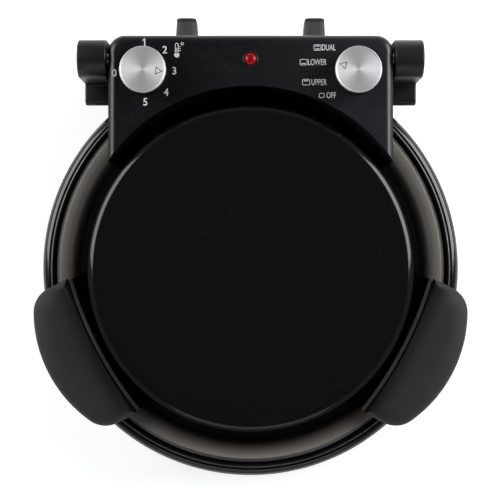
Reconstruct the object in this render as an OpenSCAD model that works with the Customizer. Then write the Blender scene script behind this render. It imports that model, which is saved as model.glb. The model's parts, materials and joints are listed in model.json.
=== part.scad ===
// Electric pizza oven for the worktop: a round base with a baking stone, and a hinged lid
// that carries the controls, the upper heater and two side handles.
// Millimetres. +Z is up, -Y is the front. The origin lies on the table under the middle
// of the whole outline, so the oven's own axis stands a little towards the front.

/* [Base] */
// Width of the base's rim, from its mouth to its widest
rim_w = 12; // [11:0.5:16]
// Height of the base's rim above the table
base_rim_z = 86; // [82:1:92]
// Radius of the rounded shoulder under the rim
shoulder_r = 8; // [6:0.5:9.5]
// Distance of the flat underside's edge inside the base's widest
underside_inset = 33.5; // [30:0.5:36]
// Radius of the curve from the underside to the side
tub_curve_r = 28; // [22:1:32]
// Wall of the base shell
shell_wall = 2.5; // [2:0.1:3]
// Width of the ledge that carries the pan, from the pan's wall to the mouth
ledge_w = 9; // [8.5:0.1:12]
// Depth of the ledge that carries the pan, below the rim
ledge_drop = 3; // [2:0.1:4]
// Distance of the trim ring outside the mouth
trim_inset = 2.7; // [2.3:0.1:3.5]
// Radius of the trim ring's round section
trim_bead_r = 1.6; // [1.2:0.1:1.8]
// Distance of the bottom cover's edge inside the flat underside's edge
cover_inset = 6; // [5:0.5:9]
// Thickness of the bottom cover
cover_t = 2.2; // [1.5:0.1:2.5]
// Number of cooling slots in the bottom cover
vent_count = 20; // [12:1:28]
// Length of a cooling slot
vent_l = 26; // [16:1:34]

/* [Feet] */
// Height of a rubber foot, which is also the gap under the base
foot_h = 12; // [9:0.5:15]
// Radius of a rubber foot
foot_r = 15; // [12:0.5:18]
// Distance of a foot's middle inside the bottom cover's edge
foot_inset = 28; // [22:1:40]

/* [Baking chamber] */
// Radius of the baking stone
stone_r = 154.5; // [150:0.5:155.5]
// Thickness of the baking stone
stone_t = 12; // [10:0.5:14]
// Height of the stone's underside above the table
stone_z = 66; // [62:0.5:68]
// Gap between the stone and the pan's wall
stone_gap = 3; // [2:0.1:4.5]
// Height of the pan's floor
pan_floor_z = 38; // [34:0.5:42]
// Thickness of the sheet that the pan and the reflector are pressed from
pan_sheet = 1; // [0.8:0.1:1.4]
// Radius of the lower heater's ring
lower_ring_r = 105; // [90:1:118]
// Height of the lower heater's ring
lower_ring_z = 51; // [49:0.5:55]
// Radius of the upper heater's ring
upper_ring_r = 100; // [88:1:105]
// Height of the upper heater's ring
upper_ring_z = 112; // [108:0.5:116]
// Radius of a heater's tube
heater_tube_r = 3.3; // [2.8:0.1:3.8]
// Half of the angle that is left open in a heater's ring, at the rear
heater_gap_deg = 11; // [8:0.5:14]

/* [Lid] */
// Gap between the brim and the base's mouth
brim_gap = 3.5; // [3:0.1:5]
// Height of the raised top above the table
lid_top_z = 140; // [136:1:146]
// Radius of the top's rounded edge
drum_edge_r = 6; // [4:0.5:8]
// Radius of the hollow curve between the top's side and the brim
cove_r = 27.5; // [26:0.5:29]
// Flat width of the brim outside the curve
brim_flat = 2; // [1.8:0.1:2.6]
// Thickness of the lid's sheet
lid_sheet = 1.2; // [0.8:0.1:1.6]
// Radius of the rolled edge of the brim
roll_r = 1.5; // [1.2:0.1:1.6]
// Height between the base's rim and the top of the brim
brim_rise = 4; // [3.5:0.1:5]
// Distance of the edge of the reflector's flat ceiling inside the raised top's side
ceiling_inset = 20.5; // [18.5:0.5:25]
// Height of the reflector's ceiling
ceiling_z = 126; // [122:0.5:130]

/* [Control housing] */
// Half of the housing's width
housing_half_w = 117.3; // [112:0.1:119]
// Distance of the housing's rear wall in front of the rear housing's back wall
housing_step = 4; // [1:0.5:8]
// Radius of the housing's rear corners, seen from above
housing_corner_r = 14; // [10:0.5:18]
// Radius of the rounded edge along the sides and the rear
housing_edge_r = 7; // [4:0.5:8]
// Gap between the raised top's side and the radius of the hollow front edge
trench_w = 7.9; // [6:0.1:10]
// Distance of the hollow front edge's centre behind the oven's axis
housing_front_y = 7.6; // [5:0.1:9]
// Wall of the housing
housing_wall = 2.5; // [2:0.1:3]
// Thickness of the housing's lower cover
housing_cover_t = 2; // [1.5:0.1:2.5]

/* [Controls] */
// Distance of each knob from the middle
knob_x = 87; // [80:0.5:92]
// Distance of the knobs in front of the housing's rear wall
knob_inset = 31; // [28:0.5:34]
// Radius of a knob's metal face
knob_r = 18.8; // [16:0.1:20]
// Height of a knob, from the panel to its face
knob_h = 18; // [15:0.5:22]
// Gap between a knob and the panel
knob_gap = 1; // [0.6:0.1:1.6]
// Thickness of a knob's metal face
knob_face_t = 2.5; // [2:0.1:3.5]
// Radius of a control's shaft
shaft_r = 3; // [2.5:0.1:3.5]
// Radius of the threaded neck that holds a control in the panel
neck_r = 5; // [4.6:0.1:5.5]
// Pointer's direction on the thermostat knob, counted from +X
thermostat_pointer_deg = -6; // [-12:1:12]
// Pointer's direction on the selector knob, counted from +X
selector_pointer_deg = 164; // [150:1:180]
// Distance of the lamp in front of the housing's rear wall
lamp_inset = 20.4; // [17:0.1:26]
// Radius of the lamp's dome
lamp_r = 4.9; // [4:0.1:6]

/* [Hinge] */
// Distance of the hinge axis in front of the housing's rear wall
hinge_inset = 18.4; // [16:0.1:22]
// Height of the hinge axis above the table
hinge_z = 126; // [122:0.5:128]
// Radius of the knuckle
knuckle_r = 15.8; // [14:0.1:16.5]
// Width of a hinge tower
tower_w = 24; // [20:0.5:28]
// Reach of a tower's lower block in front of the knuckle
tower_step = 17.5; // [12:0.5:20]
// Side gap between the lid and a tower
tower_gap = 1.2; // [0.8:0.1:2]
// Radius of the hinge pin
pin_r = 4.5; // [4:0.1:5]
// Wall of the hinge bush
bush_wall = 2.5; // [2:0.1:3]
// Running clearance of a pin or shaft in its bore
running_gap = 0.05; // [0.02:0.01:0.09]

/* [Rear housing] */
// Distance of the rear housing's back wall behind the base's widest
rear_out = 16.5; // [14:0.5:19.5]
// Depth of the rear housing's block, before the base is cut out of it
rear_depth = 136; // [100:1:150]
// Radius of the rear housing's corners
rear_corner_r = 8; // [5:0.5:12]
// Distance of each storage foot from the middle
storage_x = 55.8; // [45:0.1:65]
// Width of a storage foot where it leaves the wall
storage_w = 19; // [15:0.5:24]
// Length of a storage foot
storage_l = 21; // [16:0.5:26]
// Height of a storage foot, from its lower to its upper side
storage_h = 44; // [32:1:50]
// Radius of the hole for the mains lead
cord_bore_r = 4; // [3.5:0.1:4.5]

/* [Handles] */
// Direction of the handles, counted from the side towards the front
handle_deg = 27.5; // [24:0.5:31]
// Distance of a handle's tip outside the brim
handle_out = 28.8; // [24:0.1:34]
// Radius of a handle's outer curve
handle_outer_r = 113.5; // [112:0.5:116]
// Radius of a handle's corners
handle_corner_r = 22.3; // [20:0.1:24]
// Half of a handle's length
handle_half_l = 64; // [60:0.5:66]
// Radius of the seam between handle and bracket
seam_r = 313; // [280:1:340]
// Distance of the seam inside the brim's edge
seam_inset = 16.3; // [14:0.1:18]
// Height of a lid handle, from its flat underside to its crown
grip_h = 16; // [12:0.5:20]
// Gap between the lid handle and the grip on the base
finger_gap = 20; // [18:0.5:24]
// Height of the grip on the base
base_grip_h = 16; // [12:0.5:18]
// Distance of the base grip's tip outside the base's widest
base_grip_out = 10.5; // [8:0.5:14.5]

/* [Fits] */
// Gap between pieces that are seated on each other
seat_gap = 0.2; // [0.1:0.05:0.3]
// Gap between surfaces of different bodies that lie close to each other
body_gap = 0.4; // [0.3:0.05:0.6]
// Radius of the small screws' shanks
screw_r = 1.9; // [1.6:0.05:2.2]
// Length of the small screws' shanks
screw_l = 9; // [7:0.5:11]
// Length of the screws that hold the grips of the base
grip_screw_l = 13; // [11:0.5:14]
// Length of the housing's screws
housing_screw_l = 12; // [10:0.5:14]
// Distance of the housing's screws in front of its rear wall
housing_screw_inset = 12; // [10:0.5:14]
// Length of a tower's screw beyond the wall that it goes through
screw_bite = 8; // [6:0.5:9]
// Length of a handle's screw beyond the plate that it goes through
handle_screw_bite = 5; // [4:0.5:7]
// Gap between the tips of the rear housing's screws and its back face
rear_screw_short = 8; // [6:0.5:12]
// Height of a tower's lower screw above the tower's foot
tower_screw_first = 12; // [10:0.5:14]
// Distance between a tower's two screws
tower_screw_pitch = 28; // [24:0.5:30]
// Half the distance between the two screws of a grip
grip_screw_t = 30; // [26:0.5:34]
// Half the distance between the two screws of a handle
handle_screw_t = 32; // [28:0.5:36]

/* [Hidden] */
$fn = 96;
hull_fn = 32;
eps = 0.01;
far = 400;

black = "#161618";
panel_black = "#1d1d21";
charcoal = "#2d2d2e";
rubber_grey = "#3c3c3c";
sheet_grey = "#8d8f92";
steel = "#b8bbc0";
spun_metal = "#c9c9cc";
brass_tone = "#b08d4a";
stone_tone = "#c7b698";
lamp_red = "#b40a12";
ceramic_white = "#e6e2d8";
wire_brown = "#5a3a2a";

// The stone's size drives the pan, the base and the lid
pan_r = stone_r + stone_gap + pan_sheet;
mouth_r = pan_r + ledge_w;
base_r = mouth_r + rim_w;
trim_r = mouth_r + trim_inset;
underside_r = base_r - underside_inset;
cover_r = underside_r - cover_inset;
foot_orbit = cover_r - foot_inset;
brim_r = mouth_r - brim_gap;
drum_r = brim_r - brim_flat - cove_r;
ceiling_r = drum_r - ceiling_inset;

rear_wall_y = base_r + rear_out;
housing_rear = rear_wall_y - housing_step;
housing_front_r = drum_r + trench_w;
hinge_y = housing_rear - hinge_inset;
knob_y = housing_rear - knob_inset;
lamp_y = housing_rear - lamp_inset;
handle_reach = brim_r + handle_out;
seam_u = brim_r - seam_inset;
base_grip_reach = base_r + base_grip_out;
rear_reach = rear_wall_y + storage_l;
axis_y = (base_r - rear_reach) / 2;

under_z = foot_h;
ledge_z = base_rim_z - ledge_drop;
pan_flange_z = ledge_z + pan_sheet;
cover_recess_r = cover_r + seat_gap;
floor_ring_z = under_z + cover_t + seat_gap;
floor_ring_w = 10;
boss_orbit = cover_r - floor_ring_w / 2 + 1;
boss_r = 4.5;
cover_screws = 6;
screw_head_r = 3.6;
screw_head_t = 2;

brim_z = base_rim_z + brim_rise;
roll_z = brim_z - roll_r;
roll_low_z = roll_z - roll_r;
reflector_flange_z = brim_z - lid_sheet - 0.6;
reflector_flange_r = brim_r - 2 * roll_r - seat_gap;
reflector_foot_r = drum_r + 6.5;

housing_floor_z = brim_z;
housing_top_z = lid_top_z;
panel_under_z = housing_top_z - housing_wall;
tail_r = hinge_z - housing_floor_z;
tower_in = housing_half_w + tower_gap;
tower_out = tower_in + tower_w;
tower_front = hinge_y - knuckle_r - tower_step;
tower_back = hinge_y + knuckle_r;
tower_shelf_z = base_rim_z - 1;
tower_low_z = 30;
cap_t = 2;
bush_r = pin_r + running_gap + bush_wall;
lug_r = bush_r + 3.4;
lug_t = 3;
lug_x = housing_half_w - housing_wall - 6;
bracket_t = 2;
bracket_z = housing_floor_z + housing_cover_t + seat_gap;
duct_r = 4;
duct_x = tower_in + tower_w / 2 + 1;
lead_r = 2.4;
pin_bore_r = lead_r + 0.4;
pin_in_x = lug_x - 4;

rear_top_z = base_rim_z - 2;
rear_half_w = tower_in - seat_gap;
inlet_z = under_z + 22;
inlet_neck_r = cord_bore_r + 3;
storage_peg_r = 5;
lead_low_z = tower_low_z + 26;
cover_post = [96, rear_wall_y - 14];
storage_z = (under_z + rear_top_z) / 2 + 6;

// Seats inside the base shell for the screws of the rear housing and of the grips
shell_back_y = pan_r + 8;
grip_screw_u = sqrt(pow(base_r - shell_wall - 4.5, 2) - pow(grip_screw_t, 2)) - 1.5;
shell_screw_z = [under_z + 34, under_z + 58];

// The heaters' ends turn into slightly thicker upright legs
heater_leg_r = heater_tube_r + 0.6;
lower_leg_z = pan_floor_z - 12;
upper_leg_z = ceiling_z + 6;

shaft_low_z = panel_under_z - 12;
neck_top_z = housing_top_z + 4.5;
nut_t = 2.5;
knob_low_z = housing_top_z + knob_gap;
knob_top_z = housing_top_z + knob_h;
knob_body_top_z = knob_top_z - knob_face_t;

grip_z = brim_z + 7;
plate_t = 4;
plate_z = grip_z - seat_gap - plate_t;
lip_w = 3;
lip_groove = 1.3;
lip_top_z = grip_z + grip_h - 3;
web_top_z = grip_z + 8;
base_grip_z = grip_z - finger_gap - base_grip_h;

// ---- outlines and helpers ----

// Points along an arc about the centre c, from angle a to angle b
function arc(c, r, a, b, n = 16) =
    [for (i = [0:n]) c + r * [cos(a + (b - a) * i / n), sin(a + (b - a) * i / n)]];

// The same points from last to first
function backwards(v) = [for (i = [len(v) - 1:-1:0]) v[i]];

// Outer outline of the base in section, moved inwards by d
function tub_line(d) =
    let (low = [underside_r, under_z + tub_curve_r],
         high = [base_r - shoulder_r, base_rim_z - shoulder_r],
         span = high - low,
         lean = atan2(span[1], span[0]) - acos((tub_curve_r - shoulder_r) / norm(span)))
    concat(arc(low, tub_curve_r - d, -90, lean), arc(high, shoulder_r - d, lean, 90, 10));

// Upper outline of the lid in section, moved outwards by d
function lid_line(d) =
    concat([[0, lid_top_z + d]],
           arc([drum_r - drum_edge_r, lid_top_z - drum_edge_r], drum_edge_r + d, 90, 0, 10),
           arc([drum_r + cove_r, brim_z + cove_r], cove_r - d, 180, 270, 24),
           [[brim_r - roll_r, brim_z + d]]);

// Section of the lid's sheet with its rolled edge
function lid_section() =
    let (under = backwards(lid_line(-lid_sheet)))
    concat(lid_line(0), arc([brim_r - roll_r, roll_z], roll_r, 75, -190, 20),
           [for (i = [2:len(under) - 1]) under[i]]);

// Upper outline of the reflector in section, moved downwards and inwards by d
function reflector_line(d) =
    [[0, ceiling_z - d], [ceiling_r - d / 2, ceiling_z - d],
     [ceiling_r + 7 - d, ceiling_z - 4 - d / 2],
     [reflector_foot_r - d, reflector_flange_z - d],
     [reflector_flange_r, reflector_flange_z - d]];

// Everything is drawn about the oven's axis and then stood in its place
module at_axis() {
    translate([0, axis_y, 0]) children();
}

// One copy on the left and one on the right
module both_sides() {
    children();
    mirror([1, 0, 0]) children();
}

// A copy on the left (-1) or on the right (1)
module on_side(side) {
    mirror([side < 0 ? 1 : 0, 0, 0]) children();
}

module tube(r_out, r_in, h) {
    difference() {
        cylinder(r = r_out, h = h);
        translate([0, 0, -1]) cylinder(r = r_in, h = h + 2);
    }
}

// Cylinder along X from x0 to x1
module rod_x(r, x0, x1) {
    translate([x0, 0, 0]) rotate([0, 90, 0]) cylinder(r = r, h = x1 - x0);
}

// Cylinder along Y from y0 to y1
module rod_y(r, y0, y1) {
    translate([0, y0, 0]) rotate([-90, 0, 0]) cylinder(r = r, h = y1 - y0);
}

// Rectangle with round corners, about its middle
module round_rect(w, d, r) {
    square([w - 2 * r, d], center = true);
    square([w, d - 2 * r], center = true);
    for (x = [-1, 1], y = [-1, 1]) translate([x * (w / 2 - r), y * (d / 2 - r)]) circle(r = r);
}

function unit(v) = v / norm(v);

// Direction of a route at its point i, halfway between the legs that meet there
function heading(v, i) =
    i == 0 ? unit(v[1] - v[0]) :
    i == len(v) - 1 ? unit(v[i] - v[i - 1]) :
    unit(unit(v[i] - v[i - 1]) + unit(v[i + 1] - v[i]));

// Vector square to the route at point i, carried along it without a twist
function side_of(v, i) =
    let (t = heading(v, i), s = i == 0 ? [0.36, 0.48, 0.8] : side_of(v, i - 1))
    unit(s - (s * t) * t);

// Round wire through the given points, as one closed tube with eight sides
module wire(points, r) {
    sides = 8;
    last = len(points) - 1;
    rings = [for (i = [0:last])
        let (t = heading(points, i), s = side_of(points, i), w = cross(t, s))
        for (k = [0:sides - 1])
            points[i] + r * (s * cos(360 * k / sides) + w * sin(360 * k / sides))];
    walls = [for (i = [0:last - 1], k = [0:sides - 1])
        let (a = i * sides + k, b = i * sides + (k + 1) % sides)
        each [[a, a + sides, b], [b, a + sides, b + sides]]];
    ends = [for (k = [1:sides - 2])
        each [[0, k, k + 1],
              [last * sides, last * sides + k + 1, last * sides + k]]];
    polyhedron(points = rings, faces = concat(walls, ends));
}

// Pan-head screw, head down, shank up from z = 0
module screw_up(l = screw_l) {
    translate([0, 0, -screw_head_t]) cylinder(r = screw_head_r, h = screw_head_t);
    cylinder(r = screw_r, h = l);
}

module tub_solid(d) {
    rotate_extrude() polygon(concat([[0, under_z + d]], tub_line(d), [[0, base_rim_z - d]]));
}

// All the space under the lid's upper surface, with a gap d above it
module lid_space(d) {
    rotate_extrude() polygon(concat([[0, 0]], lid_line(d),
        [[brim_r + d, brim_z + d - roll_r], [brim_r + d, 0]]));
}

// ---- base ----

module wire_port() {
    translate([0, 0, inlet_z]) rotate([-90, 0, 0]) linear_extrude(height = base_r + 20)
        round_rect(52, 18, 4);
}

module rear_screw_places() {
    for (x = [-34, 34], z = shell_screw_z) translate([x, 0, z]) children();
}

module base_grip_screw_places() {
    both_sides() rotate([0, 0, -handle_deg]) for (t = [-grip_screw_t, grip_screw_t])
        translate([0, t, base_grip_z + base_grip_h / 2]) children();
}

module tower_screw_places() {
    both_sides() for (z = [0, tower_screw_pitch])
        translate([0, hinge_y - 2, tower_low_z + tower_screw_first + z]) children();
}

module base_shell() {
    color(black) at_axis() difference() {
        union() {
            difference() {
                tub_solid(0);
                tub_solid(shell_wall);
                translate([0, 0, ledge_z]) cylinder(r = mouth_r, h = far);
                translate([0, 0, -1]) cylinder(r = cover_recess_r, h = under_z + 2 * shell_wall);
            }
            // inner lip and ledge that carry the pan
            translate([0, 0, ledge_z - shell_wall])
                tube(mouth_r + shell_wall, mouth_r, base_rim_z - ledge_z + shell_wall - 0.5);
            translate([0, 0, ledge_z - shell_wall])
                tube(mouth_r + shell_wall, pan_r + seat_gap, shell_wall);
            // ring that the bottom cover is screwed to
            translate([0, 0, floor_ring_z])
                tube(cover_recess_r + 4, cover_r - floor_ring_w, shell_wall);
            for (i = [0:cover_screws - 1]) rotate([0, 0, 60 * i + 15])
                translate([boss_orbit, 0, floor_ring_z]) cylinder(r = boss_r, h = screw_l + 1);
            // seats for the screws' heads on the sloping wall
            intersection() {
                union() {
                    rear_screw_places() rod_y(boss_r, shell_back_y, base_r);
                    base_grip_screw_places() rod_x(boss_r, grip_screw_u, base_r);
                }
                tub_solid(shell_wall / 2);
            }
        }
        rotate_extrude() translate([trim_r, base_rim_z]) circle(r = trim_bead_r + seat_gap);
        for (i = [0:cover_screws - 1]) rotate([0, 0, 60 * i + 15])
            translate([boss_orbit, 0, -1]) cylinder(r = screw_r + running_gap, h = far / 10);
        wire_port();
        rear_screw_places() rod_y(screw_r + seat_gap, pan_r, base_r + 5);
        base_grip_screw_places() rod_x(screw_r + seat_gap, pan_r, base_r + 5);
    }
}

module trim_ring() {
    color(steel) at_axis() rotate_extrude() translate([trim_r, base_rim_z])
        circle(r = trim_bead_r);
}

module bottom_cover() {
    color(black) at_axis() difference() {
        translate([0, 0, under_z]) cylinder(r = cover_r, h = cover_t);
        for (i = [0:vent_count - 1]) rotate([0, 0, 360 / vent_count * i])
            translate([60, 0, under_z - 1]) linear_extrude(height = cover_t + 2)
                round_rect(vent_l, 4, 1.9);
        for (i = [0:cover_screws - 1]) rotate([0, 0, 60 * i + 15])
            translate([boss_orbit, 0, 0]) cylinder(r = screw_r + seat_gap, h = far / 10);
    }
}

module rubber_feet() {
    color(rubber_grey) at_axis() for (a = [45:90:315]) rotate([0, 0, a])
        translate([foot_orbit, 0, 0]) rotate_extrude()
            polygon([[0, 0], [foot_r - 3, 0], [foot_r - 1.5, 1.5], [foot_r, under_z],
                     [0, under_z]]);
}

module bottom_screws() {
    color(steel) at_axis() for (i = [0:cover_screws - 1]) rotate([0, 0, 60 * i + 15])
        translate([boss_orbit, 0, under_z]) screw_up();
}

module base_pan() {
    floor_r = pan_r - 8;
    color(sheet_grey) at_axis() difference() {
        rotate_extrude() {
            difference() {
                polygon(concat([[0, pan_floor_z - pan_sheet]],
                    arc([floor_r, pan_floor_z - pan_sheet + 8], 8, -90, 0, 8),
                    [[pan_r, pan_flange_z], [0, pan_flange_z]]));
                polygon(concat([[0, pan_floor_z]],
                    arc([floor_r, pan_floor_z - pan_sheet + 8], 8 - pan_sheet, -90, 0, 8),
                    [[pan_r - pan_sheet, far], [0, far]]));
            }
            translate([pan_r - pan_sheet / 2, ledge_z])
                square([mouth_r - pan_r + pan_sheet / 2 - seat_gap, pan_sheet]);
        }
        heater_ends(lower_ring_r) translate([0, 0, pan_floor_z - 2 * pan_sheet])
            cylinder(r = heater_leg_r + seat_gap, h = 4 * pan_sheet);
    }
}

// The two ends of a heater's ring, at the rear
module heater_ends(ring_r) {
    for (s = [-1, 1]) rotate([0, 0, 90 + s * heater_gap_deg]) translate([ring_r, 0, 0])
        children();
}

// Open ring of a tubular heater about the oven's axis
module heater_ring(ring_r, z) {
    translate([0, 0, z]) rotate([0, 0, 90 + heater_gap_deg])
        rotate_extrude(angle = 360 - 2 * heater_gap_deg) translate([ring_r, 0])
            circle(r = heater_tube_r);
}

module lower_heater() {
    color("#4a4644") at_axis() {
        heater_ring(lower_ring_r, lower_ring_z);
        heater_ends(lower_ring_r) translate([0, 0, lower_leg_z])
            cylinder(r = heater_leg_r, h = lower_ring_z + heater_leg_r - lower_leg_z);
    }
}

// Upright strap with an eye that holds a heater's tube
module heater_clip(ring_r, z0, z1, ring_z) {
    difference() {
        translate([ring_r - heater_tube_r - 2, -1, z0])
            cube([2 * heater_tube_r + 4, 2, z1 - z0]);
        translate([ring_r, 0, ring_z]) rod_y(heater_tube_r + running_gap, -5, 5);
    }
}

module lower_heater_clips() {
    color(steel) at_axis() for (a = [30, 150, 270]) rotate([0, 0, a])
        heater_clip(lower_ring_r, pan_floor_z, lower_ring_z + heater_tube_r + 2, lower_ring_z);
}

// Bent steel brackets on the pan's floor that carry the stone
module stone_supports() {
    support_t = 1.5;
    color(steel) at_axis() for (a = [0:60:300]) rotate([0, 0, a])
        translate([stone_r - 26, -9, 0]) {
            translate([0, 0, pan_floor_z]) cube([14, 18, support_t]);
            translate([0, 0, pan_floor_z]) cube([support_t, 18, stone_z - pan_floor_z]);
            translate([0, 0, stone_z - support_t]) cube([14, 18, support_t]);
        }
}

module pizza_stone() {
    color(stone_tone) at_axis() translate([0, 0, stone_z]) rotate_extrude()
        polygon([[0, 0], [stone_r - 1.5, 0], [stone_r, 1.5], [stone_r, stone_t - 1.5],
                 [stone_r - 1.5, stone_t], [0, stone_t]]);
}

block_size = [44, 14, 13];
block_y = cover_r - floor_ring_w - block_size[1] - 2;
block_z = under_z + cover_t;

module terminal_block() {
    color(ceramic_white) at_axis() translate([0, block_y, block_z]) difference() {
        translate([-block_size[0] / 2, 0, 0]) cube(block_size);
        for (x = [-15, -5, 5, 15]) translate([x, 0, block_size[2] / 2])
            rod_y(2, -1, block_size[1] + 1);
        for (x = [-15, -5, 5, 15]) translate([x, block_size[1] / 2, block_size[2] / 2])
            cylinder(r = 1.6, h = far / 10);
    }
}

// Leads from the mains inlet to the block, and from the block to the heater's ends
module base_wiring() {
    wire_z = block_z + block_size[2] / 2;
    leg_x = lower_ring_r * sin(heater_gap_deg);
    leg_y = lower_ring_r * cos(heater_gap_deg);
    color(wire_brown) at_axis() {
        for (s = [-1, 1]) {
            wire([[5 * s, block_y + block_size[1] - 5, wire_z],
                  [5 * s, block_y + block_size[1] + 4, wire_z],
                  [5 * s, pan_r - 12, inlet_z],
                  [5 * s, rear_wall_y - 20, inlet_z],
                  [2 * s, rear_wall_y - 10, inlet_z],
                  [2 * s, rear_wall_y - 7, inlet_z]], 1.3);
            wire([[15 * s, block_y + 5, wire_z],
                  [15 * s, block_y - 3, wire_z],
                  [leg_x * s, leg_y, wire_z],
                  [leg_x * s, leg_y, lower_leg_z - 0.2]], 1.3);
        }
    }
}

// ---- rear housing with the hinge towers ----

module cover_post_places() {
    both_sides() translate([cover_post[0], cover_post[1], 0]) children();
}

module rear_block(inset) {
    depth = rear_depth;
    translate([0, rear_wall_y - depth / 2, under_z]) linear_extrude(height = rear_top_z - under_z - inset)
        round_rect(2 * (rear_half_w - inset), depth - 2 * inset, rear_corner_r - inset);
}

module rear_housing() {
    color(black) at_axis() difference() {
        union() {
            difference() {
                rear_block(0);
                translate([0, 0, -eps]) rear_block(shell_wall);
            }
            // posts for the screws that come through the base shell
            rear_screw_places() rod_y(boss_r, base_r - 25, rear_wall_y - shell_wall / 2);
            // posts for the cover's screws
            cover_post_places() translate([0, 0, under_z + cover_t + seat_gap])
                cylinder(r = boss_r, h = rear_top_z - under_z - cover_t - shell_wall / 2 - 1);
        }
        tub_solid(-seat_gap);
        rear_screw_places() rod_y(screw_r + running_gap, base_r - 30, rear_wall_y - 4);
        cover_post_places() cylinder(r = screw_r + running_gap, h = under_z + 16);
        tower_screw_places() rod_x(screw_r + seat_gap, rear_half_w - 8, rear_half_w + 5);
        translate([0, 0, inlet_z]) rod_y(inlet_neck_r + seat_gap, rear_wall_y - 10, far);
        for (s = [-1, 1]) translate([s * storage_x, 0, storage_z])
            rod_y(storage_peg_r + seat_gap / 2, rear_wall_y - 10, far);
        lead_entry();
    }
}

// Hole through the housing's end wall and the right tower's side for the lid's lead
module lead_entry() {
    translate([0, hinge_y, lead_low_z]) rod_x(duct_r, rear_half_w - 10, duct_x);
}

module rear_cover() {
    color(black) at_axis() difference() {
        translate([0, 0, under_z]) linear_extrude(height = cover_t)
            translate([0, rear_wall_y - rear_depth / 2])
                round_rect(2 * (rear_half_w - shell_wall - seat_gap),
                           rear_depth - 2 * (shell_wall + seat_gap),
                           rear_corner_r - shell_wall);
        tub_solid(-seat_gap);
        cover_post_places() cylinder(r = screw_r + seat_gap, h = under_z + 16);
    }
}

module rear_screws() {
    color(steel) at_axis() {
        rear_screw_places() translate([0, shell_back_y, 0]) rotate([-90, 0, 0])
            screw_up(rear_wall_y - shell_back_y - rear_screw_short);
        cover_post_places() translate([0, 0, under_z]) screw_up();
    }
}

// Post that the oven rests on when it is stored standing on its back
module storage_foot(side) {
    tip_w = storage_w - 2;
    color(rubber_grey) at_axis() on_side(side) translate([storage_x, rear_wall_y, storage_z]) {
        difference() {
            intersection() {
                rotate([-90, 0, 0]) linear_extrude(height = storage_l)
                    round_rect(storage_w, storage_h, 6);
                translate([0, 0, -storage_h]) linear_extrude(height = 2 * storage_h)
                    polygon([[-storage_w / 2, 0], [storage_w / 2, 0],
                             [tip_w / 2, storage_l], [-tip_w / 2, storage_l]]);
            }
            // groove that sets off the end pad
            translate([0, storage_l - 3.2, 0]) rotate([-90, 0, 0]) linear_extrude(height = 0.8)
                difference() {
                    square([2 * storage_w, 2 * storage_h], center = true);
                    round_rect(tip_w - 1.4, storage_h - 1.4, 5);
                }
        }
        rod_y(storage_peg_r, -shell_wall - 2, eps);
    }
}

module cord_inlet() {
    color(rubber_grey) at_axis() translate([0, rear_wall_y, inlet_z]) rotate([-90, 0, 0])
        difference() {
            union() {
                cylinder(r = inlet_neck_r + 3, h = 3);
                translate([0, 0, -shell_wall - 3]) cylinder(r = inlet_neck_r, h = shell_wall + 4);
            }
            translate([0, 0, -shell_wall - 4]) cylinder(r = cord_bore_r, h = shell_wall + 10);
        }
}

// Outline of a tower seen from the side: a block with a knuckle on a post
module tower_side() {
    corner = 5;
    translate([hinge_y, hinge_z]) circle(r = knuckle_r);
    translate([hinge_y - knuckle_r, tower_shelf_z - corner])
        square([2 * knuckle_r, hinge_z - tower_shelf_z + corner]);
    translate([(tower_front + tower_back) / 2, (tower_low_z + tower_shelf_z) / 2])
        round_rect(tower_back - tower_front, tower_shelf_z - tower_low_z, corner);
}

module hinge_tower(side) {
    core_out = tower_out - cap_t;
    color(black) at_axis() on_side(side) difference() {
        intersection() {
            translate([tower_in, 0, 0]) rotate([90, 0, 90]) linear_extrude(height = tower_w)
                tower_side();
            // rounded upright corners, seen from above
            translate([(tower_in + tower_out) / 2, (tower_front + tower_back) / 2, 0])
                linear_extrude(height = far)
                    round_rect(tower_w, tower_back - tower_front, 4);
        }
        // bore for the pin and recess for the end cap
        translate([0, hinge_y, hinge_z]) rod_x(pin_r + running_gap, tower_in - 1, duct_x);
        translate([0, hinge_y, hinge_z]) rod_x(knuckle_r - 2 + seat_gap, core_out, far);
        tower_screw_places() rod_x(screw_r + running_gap, tower_in - 5, tower_in + 10);
        if (side > 0) {
            translate([duct_x, hinge_y, lead_low_z - duct_r])
                cylinder(r = duct_r, h = hinge_z - lead_low_z + 2 * duct_r);
            lead_entry();
        }
    }
}

module hinge_cap(side) {
    cap_r = knuckle_r - 2;
    dome = 1.2;
    color(panel_black) at_axis() on_side(side) translate([tower_out - cap_t, hinge_y, hinge_z])
        rotate([0, 90, 0]) rotate_extrude()
            polygon(concat([[0, 0], [cap_r, 0], [cap_r, cap_t]],
                [for (i = [1:8]) [cap_r * cos(90 * i / 8), cap_t + dome * sin(90 * i / 8)]]));
}

module hinge_pin(side) {
    color(steel) at_axis() on_side(side) translate([0, hinge_y, hinge_z]) difference() {
        rod_x(pin_r, pin_in_x, duct_x - duct_r - 1);
        rod_x(pin_bore_r, pin_in_x - 1, far);
    }
}

module tower_screws() {
    color(steel) at_axis() tower_screw_places()
        translate([rear_half_w - shell_wall, 0, 0]) rotate([0, 90, 0])
            screw_up(shell_wall + seat_gap + screw_bite);
}

// Lead from the rear housing up the right tower and through the hollow pin into the lid
module lid_lead() {
    bend = 3;
    color("#202020") at_axis() wire([
        [rear_half_w - 16, hinge_y, lead_low_z],
        [duct_x - bend, hinge_y, lead_low_z],
        [duct_x, hinge_y, lead_low_z + bend],
        [duct_x, hinge_y, hinge_z - bend],
        [duct_x - bend, hinge_y, hinge_z],
        [pin_in_x - 2, hinge_y, hinge_z]], lead_r);
}

// ---- handles ----

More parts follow.
